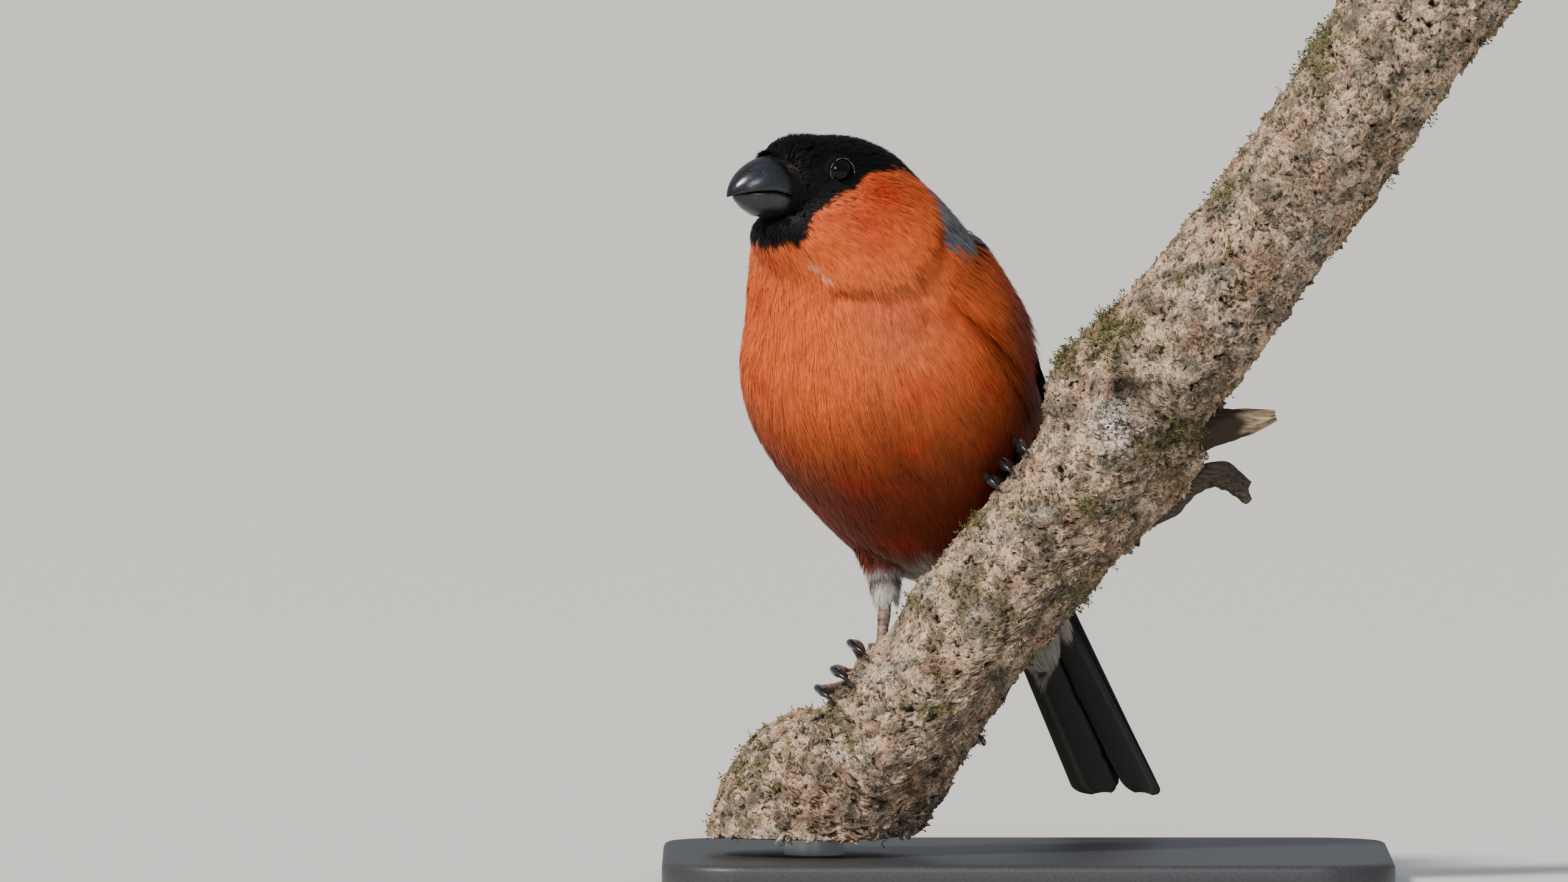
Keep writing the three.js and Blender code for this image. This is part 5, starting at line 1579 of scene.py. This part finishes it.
class BULLFINCH_OT_tail(bpy.types.Operator):
    """Twelve tail feathers, the middle pair on top"""
    bl_idname = "bullfinch.tail"
    bl_label = "Tail"

    def execute(self, context):
        colours = context.scene.bullfinch_plumage
        rng = np.random.default_rng(colours.seed + 90)
        shape = Shape()
        for pair in range(TAIL_PAIRS):
            tail_vane(shape, 1, pair, rng, colours)
            tail_vane(shape, -1, pair, rng, colours)
        piece("tail_vanes", shape, vane_keratin("tail_vane_keratin", 0.6), "dark_feathers", "tail")
        return {"FINISHED"}


class BULLFINCH_OT_legs(bpy.types.Operator):
    """Scaled shanks and toes, and the long curved claws"""
    bl_idname = "bullfinch.legs"
    bl_label = "Legs"

    def execute(self, context):
        scales, horn = scaly_leg(), claw_horn()
        for name, leg in LEGS.items():
            foot = Shape()
            pad = perch_point(perch_parameter(leg["pad"]), PAD_ANGLE, TOE_HEIGHT + 0.4)
            knee = mix(np.array(leg["thigh"][-1]), np.array(leg["thigh"][-2]), 0.3)
            path = resample([knee, leg["heel"], pad], 90)
            width = ramp(np.linspace(0, 1, 90), SHANK_RADII)
            self.scaled_tube(foot, path, width, 0.95)
            for toe in leg["toes"]:
                path = toe_path(leg, toe)
                v = np.linspace(0, 1, len(path))
                self.scaled_tube(foot, path, ramp(v, TOE_RADII), 0.75)
            piece(f"foot_{name}_scales", foot, scales, "foot", f"foot_{name}")
            for number, toe in enumerate(leg["toes"], 1):
                claw = Shape()
                path = claw_path(toe)
                v = np.linspace(0, 1, len(path))
                claw.add_tube(tube_grid(path, 0.74 * (1 - v**1.5) ** 0.8 + 0.03, 18, squash=1.25))
                piece(f"claw_{name}_{number}_horn", claw, horn, "claw", f"claw_{name}_{number}")
        return {"FINISHED"}

    def scaled_tube(self, shape, path, radii, pitch):
        """A toe or shank with overlapping scutes along its length."""
        reach = np.concatenate([[0], np.cumsum(np.linalg.norm(np.diff(path, axis=0), axis=1))])
        fine = np.linspace(0, reach[-1], max(24, int(reach[-1] / 0.13)))
        path = np.stack([np.interp(fine, reach, path[:, k]) for k in range(3)], axis=1)
        radii = np.interp(fine, reach, radii)
        saw = (fine / pitch) % 1
        turn = np.linspace(0, 2 * math.pi, 20, endpoint=False)
        upper = 0.5 + 0.5 * np.cos(turn)[None, :]
        relief = (saw[:, None] ** 0.6) * (0.6 + 0.4 * upper)
        grid = tube_grid(path, radii[:, None] * (0.9 + 0.13 * relief), 20)
        shape.add_grid(grid, plate=relief)
        shape.cap(grid, plate=0.8)


class BULLFINCH_OT_branch(bpy.types.Operator):
    """The branch with its plated bark, knot, broken stub and twig"""
    bl_idname = "bullfinch.branch"
    bl_label = "Branch"

    def execute(self, context):
        look = context.scene.bullfinch_branch
        material = bark()
        rows, columns = BARK_GRID
        relief = bark_group(material)
        # The halves overlap by 1.5 mm, so that no gap shows between them.
        halves = {"perch_bark_lower": (0.0, 0.507), "perch_bark_upper": (0.493, 1.0)}
        for name, (low, high) in halves.items():
            shape = self.bark_shape(low, high, rows // 2 + 1, columns)
            made = linked(name, shape.mesh(name))
            realised(made, relief, Plate=look.plate, Relief=look.relief, Seed=look.seed)
            dressed(made, material, "bark", "perch")
        self.stub()
        self.twig()
        return {"FINISHED"}

    def bark_shape(self, low, high, rows, columns):
        angle = np.arange(columns) * 360.0 / columns
        t0 = np.zeros(columns)
        t1 = np.full(columns, 0.4)
        for _ in range(24):
            half = (t0 + t1) / 2
            below = perch_point(half, angle)[:, 2] < PERCH_FOOT
            t0, t1 = np.where(below, half, t0), np.where(below, t1, half)
        v = np.linspace(low, high, rows)[:, None]
        t = mix(t1[None, :], 1.0, v)
        turn = np.broadcast_to(angle, t.shape)
        middle = perch_centre(t)[0]
        radius = perch_radius(t, turn)
        hollow = bump_on_perch(middle, turn, radius, KNOT_AT, KNOT_ROUND, KNOT_REACH * 0.5)
        collar = bump_on_perch(middle, turn, radius, KNOT_AT, KNOT_ROUND, KNOT_REACH)
        beside_shank = np.exp(-((middle[..., 0] - DENT_AT[0]) ** 2 + (middle[..., 2] - DENT_AT[1]) ** 2) / 22)
        beside_shank = beside_shank * smoothstep(np.cos(np.radians(turn)), 0.3, 0.9)
        grid = perch_point(t, turn, 0.9 * collar - 3.2 * hollow - 1.5 * beside_shank)
        x, z = grid[..., 0], grid[..., 2]
        front = grid[..., 1] < 2
        lichen = 1.3 * np.exp(-((x - LICHEN_AT[0]) ** 2 + (z - LICHEN_AT[1]) ** 2) / 12) * front
        lichen = lichen + 0.22 * smoothstep(ripple(grid, 9, 21), 0.6, 1.1)
        warm = smoothstep(ripple(grid, 11, 22) + 0.5 * ripple(grid, 4, 23), 0.35, 1.0) * 0.6
        moss = self.moss_cover(grid)
        # The knot darkens the bark's colour: most in its hollow, as painted shade, and less over its collar.
        knot = np.clip(1.4 * hollow + 0.6 * collar, 0, 1)
        values = dict(lichen=np.clip(lichen, 0, 1), warm=warm, moss=moss, knot=knot,
                      bark_share=(1 - 0.8 * beside_shank) * (1 - 0.7 * knot))
        # Both ends close with a disc, whose rows carry on from the bark's own.
        inward = np.linspace(1, 0, 9)[1:, None, None]
        foot, top = (mix(ring.mean(axis=0), ring, inward) for ring in (grid[0], grid[-1]))
        whole = np.concatenate([foot[::-1], grid, top])
        plain = np.zeros((len(inward), columns))
        values = {key: np.concatenate([plain, value, plain]) for key, value in values.items()}
        shape = Shape()
        shape.add(whole, grid_faces(*whole.shape[:2])[:, ::-1], **values)
        return shape

    def moss_cover(self, grid):
        """Where moss grows: in small patches, mostly along the edge that the photograph shows green."""
        x, z = grid[..., 0], grid[..., 2]
        cover = 0.5 * smoothstep(ripple(grid, 4.5, 31) + 0.5 * ripple(grid, 15, 32), 0.85, 1.3)
        cover = cover + 0.5 * smoothstep(ripple(grid, 3, 33), 0.4, 1.0) * smoothstep(x, 16, 4) * (z < -40)
        for px, pz, reach in MOSS_SPOTS:
            cover = cover + np.exp(-((x - px) ** 2 + (z - pz) ** 2) / (2 * reach**2)) * (grid[..., 1] < 6)
        return np.clip(cover, 0, 1)

    def stub(self):
        """A short broken stub: bark at its foot and bare splinters at its end."""
        wood = broken_wood("splintered_sapwood", "#b39a7c", "#5d4a38")
        path = resample(STUB_LINE, 60, smooth=False)
        v = np.linspace(0, 1, 60)[:, None]
        turn = np.linspace(0, 2 * math.pi, 40, endpoint=False)[None, :]
        radii = ramp(v[:, 0], [(0, 3.4), (0.6, 2.6), (0.8, 2.0), (1, 0.9)])[:, None]
        jag = 1 + 0.06 * np.sin(5 * turn + 9 * v) + 0.05 * np.sin(11 * turn - 14 * v)
        grid = tube_grid(path, radii * jag, 40)
        splinter = 1.4 * np.abs(np.sin(4.5 * turn + 1)) * smoothstep(v, 0.7, 1.0)
        grid = grid + unit(path[-1] - path[0]) * splinter[..., None]
        shape = Shape()
        shape.add_grid(grid, barked=smoothstep(v + 0.04 * np.sin(5 * turn), 0.8, 0.68))
        shape.cap(grid, barked=0.0)
        piece("perch_snag_wood", shape, wood, "broken_wood", "perch_snag")

    def twig(self):
        """The bent twig with its two prongs, in dark bark."""
        wood = broken_wood("weathered_twig_bark", "#5d5346", "#2b251e")
        shape = Shape()
        for number, (points, radii) in enumerate(TWIG_STEMS):
            path = resample(points, 70)
            v = np.linspace(0, 1, 70)[:, None]
            turn = np.linspace(0, 2 * math.pi, 30, endpoint=False)[None, :]
            lumps = 1 + 0.07 * np.sin(3 * turn + 21 * v + number) + 0.06 * np.sin(7 * turn - 33 * v)
            shape.add_tube(tube_grid(path, ramp(v[:, 0], radii)[:, None] * lumps, 30))
        piece("perch_twig_bark", shape, wood, "bark", "perch_twig")


def bark_group(material):
    """Raises bark in stepped flaking layers with pits between, and marks both for painted shade in the bark's
    colour.
    """
    nodes = Group("BarkRelief", Plate=("Float", 0.0024), Relief=("Float", 0.0010), Seed=("Int", 5))
    given = nodes.given
    spot = nodes.scaled(nodes.add("GeometryNodeInputPosition"), nodes.math("DIVIDE", 1.0, given["Plate"]))
    shift = nodes.add("ShaderNodeCombineXYZ", {0: given["Seed"]})
    moved = nodes.add("ShaderNodeVectorMath", {0: spot, 1: shift}, operation="ADD")
    # Layers are the flat steps of a noise; a step's foot lies in the shadow of the layer above it.
    levels = nodes.math("MULTIPLY", nodes.noise(moved, 0.62, 4.0, Roughness=0.62, Distortion=0.5), 7.0)
    layer = nodes.math("FLOOR", levels)
    within = nodes.math("FRACT", levels)
    rise = nodes.remap(within, 0.0, 1.0, 0.0, 0.3, interpolation_type="SMOOTHSTEP")
    opened = nodes.remap(within, 1.0, 0.0, 0.62, 1.0)
    curl = nodes.math("MULTIPLY_ADD", opened, 0.6, rise)
    height = nodes.math("MULTIPLY", nodes.math("ADD", layer, curl), 0.42)
    pit = nodes.remap(nodes.noise(moved, 1.3, 3.0), -1.1, 0.0, 0.3, 0.42)
    opened = nodes.math("MULTIPLY", opened, nodes.remap(pit, 0.0, 1.0, -1.1, -0.1))
    height = nodes.math("MULTIPLY_ADD", nodes.noise(spot, 3.5, 4.0), 0.9, nodes.math("ADD", height, pit))
    level = nodes.math("MULTIPLY", nodes.math("SUBTRACT", height, BARK_MIDDLE), given["Relief"])
    level = nodes.math("MULTIPLY", level, nodes.named("bark_share"))
    tone = nodes.add("ShaderNodeTexWhiteNoise", {"W": layer}, "Value", noise_dimensions="1D")
    # The mark stored here is 0 at each layer's foot and in the pits, where the bark's colour takes painted
    # shade.
    marked = nodes.store(nodes.store(given["Geometry"], "crack", opened), "flake", tone)
    push = nodes.scaled(nodes.add("GeometryNodeInputNormal"), level)
    raised = nodes.add("GeometryNodeSetPosition", {"Geometry": marked, "Offset": push})
    return nodes.finish(raised, material)


class BULLFINCH_OT_growth(bpy.types.Operator):
    """Loose bark flakes and moss shoots on the branch"""
    bl_idname = "bullfinch.growth"
    bl_label = "Flakes and moss"

    def execute(self, context):
        look = context.scene.bullfinch_branch
        flake = small_shape("bark_flake_shape", *flake_leaf())
        shoot = small_shape("moss_shoot_shape", *moss_shoot())
        kinds = {
            "bark_flakes": (flake, bark(), look.flakes, "bark_share", 0.4, 1.7),
            "moss": (shoot, moss_leaf(), look.moss, "moss", 0.6, 1.5),
        }
        for half in ("lower", "upper"):
            ground = bpy.data.objects[f"perch_bark_{half}"]
            for kind, (small, material, density, mask, smallest, largest) in kinds.items():
                made = linked(f"{kind}_{half}", ground.data.copy())
                realised(made, scatter_group(made.name, small, material), Mask=mask, Seed=look.seed,
                         Density=density * 1.0,
                         Smallest=smallest, Largest=largest)
                dressed(made, material, "bark")
        for small in (flake, shoot):
            bpy.data.objects.remove(small)
        return {"FINISHED"}


def small_shape(name, points, faces):
    mesh = bpy.data.meshes.new(name)
    mesh.from_pydata([tuple(p * MM) for p in points], [], faces)
    return linked(name, mesh)


def flake_leaf():
    """A curled scrap of bark about 1.6 mm long, thin and closed, lying in x and y."""
    outline = [(-0.95, -0.15, -0.02), (-0.2, -0.55, -0.2), (0.35, -0.38, -0.12), (0.95, -0.1, 0.02),
               (0.45, 0.2, -0.18), (0.3, 0.6, -0.06), (-0.5, 0.36, -0.12)]
    count = len(outline)
    points = [np.array([x, y, 0.1 + z]) for x, y, z in outline]
    points += [np.array([x * 0.92, y * 0.92, z - 0.10]) for x, y, z in outline]
    points += [np.array([0, 0, -0.1]), np.array([0, 0, -0.34])]
    faces = []
    for i in range(count):
        j = (i + 1) % count
        faces += [(i, j, 2 * count), (count + j, count + i, 2 * count + 1)]
        faces += [(i, count + i, count + j), (i, count + j, j)]
    return points, faces


def moss_shoot():
    """A shoot of moss about 1.2 mm high: small pointed leaves up a short stem."""
    points, faces = [], []
    for i in range(7):
        turn = i * 2.4
        out = np.array([math.cos(turn), math.sin(turn), 0])
        side = np.array([-math.sin(turn), math.cos(turn), 0])
        root = np.array([0, 0, 0.14 * i])
        length = 0.55 - 0.03 * i
        tip = root + out * length + np.array([0, 0, 0.28 + 0.03 * i])
        waist = mix(root, tip, 0.45)
        first = len(points)
        points += [root, waist + side * 0.1, waist - side * 0.1, tip]
        faces += [(first, first + 1, first + 2), (first + 1, first + 3, first + 2)]
    return points, faces


def scatter_group(name, small, material):
    """Sets small shapes on a surface, thickest where the named mask is 1."""
    nodes = Group(name, Density=("Float", 1000.0), Mask=("String", ""), Seed=("Int", 1),
                  Smallest=("Float", 0.5), Largest=("Float", 1.2))
    given = nodes.given
    density = nodes.math("MULTIPLY", nodes.named(given["Mask"]), given["Density"])
    points = nodes.add("GeometryNodeDistributePointsOnFaces",
                       {"Mesh": given["Geometry"], "Density": density, "Seed": given["Seed"]}).node.outputs
    spin = nodes.add("FunctionNodeRandomValue",
                     {0: (-0.32, -0.32, -3.14), 1: (0.32, 0.32, 3.14), "Seed": given["Seed"]},
                     data_type="FLOAT_VECTOR")
    turned = nodes.add("FunctionNodeRotateRotation", {0: points["Rotation"], 1: spin}, rotation_space="LOCAL")
    placed = nodes.add("GeometryNodeInstanceOnPoints", {
        "Points": points[0], "Instance": nodes.add("GeometryNodeObjectInfo", {"Object": small}, "Geometry"),
        "Rotation": turned, "Scale": nodes.random(given["Smallest"], given["Largest"])})
    return nodes.finish(placed, material)


def work_box(node):
    """The corners of a CAD node's box in the working frame, in millimetres."""
    return [np.array(corner) / MM + WORK_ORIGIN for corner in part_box(node)]


class BULLFINCH_OT_stand(bpy.types.Operator):
    """The powder-coated base plate and the steel rod"""
    bl_idname = "bullfinch.stand"
    bl_label = "Stand"

    def execute(self, context):
        low, high = work_box("stand_base")
        centre, bottom, top = (low[:2] + high[:2]) / 2, low[2], high[2]
        levels = [(bottom, 6), (bottom, 1.0), (bottom + 0.3, 0.3), (bottom + 1, 0), (top - 1, 0),
                  (top - 0.75, 0.07), (top - 0.3, 0.3), (top - 0.07, 0.75), (top, 1.0), (top, 6)]
        grid = np.stack([self.outline(centre, inset, z) for z, inset in levels])
        plate = Shape()
        plate.add_tube(grid)
        piece("stand_plate", plate, powder_coat(), "stand_base", "stand_base")
        low, high = work_box("stand_rod")
        path = np.array([[*ROD_PLACE, z] for z in np.linspace(low[2], high[2], 12)])
        rod = Shape()
        rod.add_tube(tube_grid(path, np.full(12, ROD_RADIUS), 72))
        piece("stand_steel_rod", rod, brushed_rod(), "stand_rod", "stand_rod")
        return {"FINISHED"}

    def outline(self, centre, inset, z):
        """The plate's rounded outline at one level, pulled in by an inset."""
        half = np.array([BASE_WIDTH, BASE_DEPTH]) / 2 - inset
        corner = max(BASE_CORNER - inset, 1)
        ring = []
        for quarter, sign in enumerate(np.array([(1, 1), (-1, 1), (-1, -1), (1, -1)])):
            turn = np.radians(np.linspace(0, 90, 13) + 90 * quarter)
            arc = np.stack([np.cos(turn), np.sin(turn)], axis=1) * corner
            ring.append(centre + sign * (half - corner) + arc)
        flat = np.concatenate(ring)
        return np.concatenate([flat, np.full((len(flat), 1), z)], axis=1)


# Studio: metres, colours in linear light, and the key light's direction from the part.
FLOOR_HALF = 60.0
ROOM_COLOUR = (0.86, 0.92, 1.0, 1)
KEY_FROM, KEY_SOFTNESS, KEY_COLOUR = (-700, -740, 900), math.radians(9), (1.0, 0.95, 0.87)
CATCH_FROM_HEAD, CATCH_TILT = (0.1, -1.7, 0.74), math.radians(66)
CATCH_SIZE, CATCH_COLOUR = 0.42, (0.8, 0.88, 1.0)


class BULLFINCH_OT_studio(bpy.types.Operator):
    """Pale floor, soft light and the camera at the photograph's angle"""
    bl_idname = "bullfinch.studio"
    bl_label = "Studio"

    def execute(self, context):
        look = context.scene.bullfinch_studio
        floor = bpy.data.meshes.new("studio_floor")
        corners = [(x * FLOOR_HALF, y * FLOOR_HALF, 0) for x, y in ((-1, -1), (1, -1), (1, 1), (-1, 1))]
        floor.from_pydata(corners, [], [(0, 1, 2, 3)])
        floor.materials.append(matt_floor(look.floor))
        linked("studio_floor", floor)
        world = bpy.data.worlds.new("soft_room_light")
        context.scene.world = world
        world.use_nodes = True
        background = world.node_tree.nodes["Background"]
        background.inputs["Color"].default_value = ROOM_COLOUR
        background.inputs["Strength"].default_value = look.fill
        key = bpy.data.lights.new("key_light", "SUN")
        key.energy, key.angle, key.color = look.key, KEY_SOFTNESS, KEY_COLOUR
        sun = linked("key_light", key)
        sun.location = np.array(KEY_FROM) * MM
        sun.rotation_euler = sun.location.to_track_quat("Z", "Y").to_euler()
        catch = bpy.data.lights.new("catch_light", "AREA")
        catch.energy, catch.size, catch.color = look.catch, CATCH_SIZE, CATCH_COLOUR
        lamp = linked("catch_light", catch)
        lamp.location = (HEAD_PLACE - WORK_ORIGIN) * MM + np.array(CATCH_FROM_HEAD)
        lamp.rotation_euler = (CATCH_TILT, 0, 0)
        camera = bpy.data.cameras.new("photo_camera")
        camera.lens = camera.sensor_width * look.distance / MM / (PHOTO_WIDTH * PHOTO_PIXEL)
        camera.clip_start, camera.clip_end = 0.1, 200
        viewer = linked("photo_camera", camera)
        back = np.array([0.0, -math.cos(look.pitch), math.sin(look.pitch)]) * look.distance
        viewer.location = -WORK_ORIGIN * MM + back
        viewer.rotation_euler = (math.pi / 2 - look.pitch, 0, 0)
        context.scene.camera = viewer
        return {"FINISHED"}


class BULLFINCH_PT_panel(bpy.types.Panel):
    """Lists the pieces of the bullfinch"""
    bl_idname = "BULLFINCH_PT_panel"
    bl_label = "Bullfinch"
    bl_space_type = "VIEW_3D"
    bl_region_type = "UI"
    bl_category = "Bullfinch"

    def draw(self, context):
        for group in ("bullfinch_plumage", "bullfinch_branch", "bullfinch_studio"):
            settings = getattr(context.scene, group)
            box = self.layout.box()
            for key in settings.bl_rna.properties.keys():
                if key not in {"rna_type", "name"}:
                    box.prop(settings, key)
        for operator in OPERATORS:
            self.layout.operator(operator.bl_idname)


OPERATORS = (
    BULLFINCH_OT_skin, BULLFINCH_OT_coat, BULLFINCH_OT_eyes, BULLFINCH_OT_bill, BULLFINCH_OT_wings,
    BULLFINCH_OT_tail, BULLFINCH_OT_legs, BULLFINCH_OT_branch, BULLFINCH_OT_growth, BULLFINCH_OT_stand,
    BULLFINCH_OT_studio,
)
GROUPS = {
    "bullfinch_plumage": BULLFINCH_PG_plumage,
    "bullfinch_branch": BULLFINCH_PG_branch,
    "bullfinch_studio": BULLFINCH_PG_studio,
}


def register():
    for group in GROUPS.values():
        bpy.utils.register_class(group)
    for name, group in GROUPS.items():
        setattr(bpy.types.Scene, name, bpy.props.PointerProperty(type=group))
    for item in (*OPERATORS, BULLFINCH_PT_panel):
        bpy.utils.register_class(item)


def unregister():
    for item in (BULLFINCH_PT_panel, *reversed(OPERATORS)):
        bpy.utils.unregister_class(item)
    for name in GROUPS:
        delattr(bpy.types.Scene, name)
    for group in reversed(GROUPS.values()):
        bpy.utils.unregister_class(group)


def main():
    register()
    for operator in OPERATORS:
        group, name = operator.bl_idname.split(".")
        getattr(getattr(bpy.ops, group), name)()


if __name__ == "__main__":
    main()
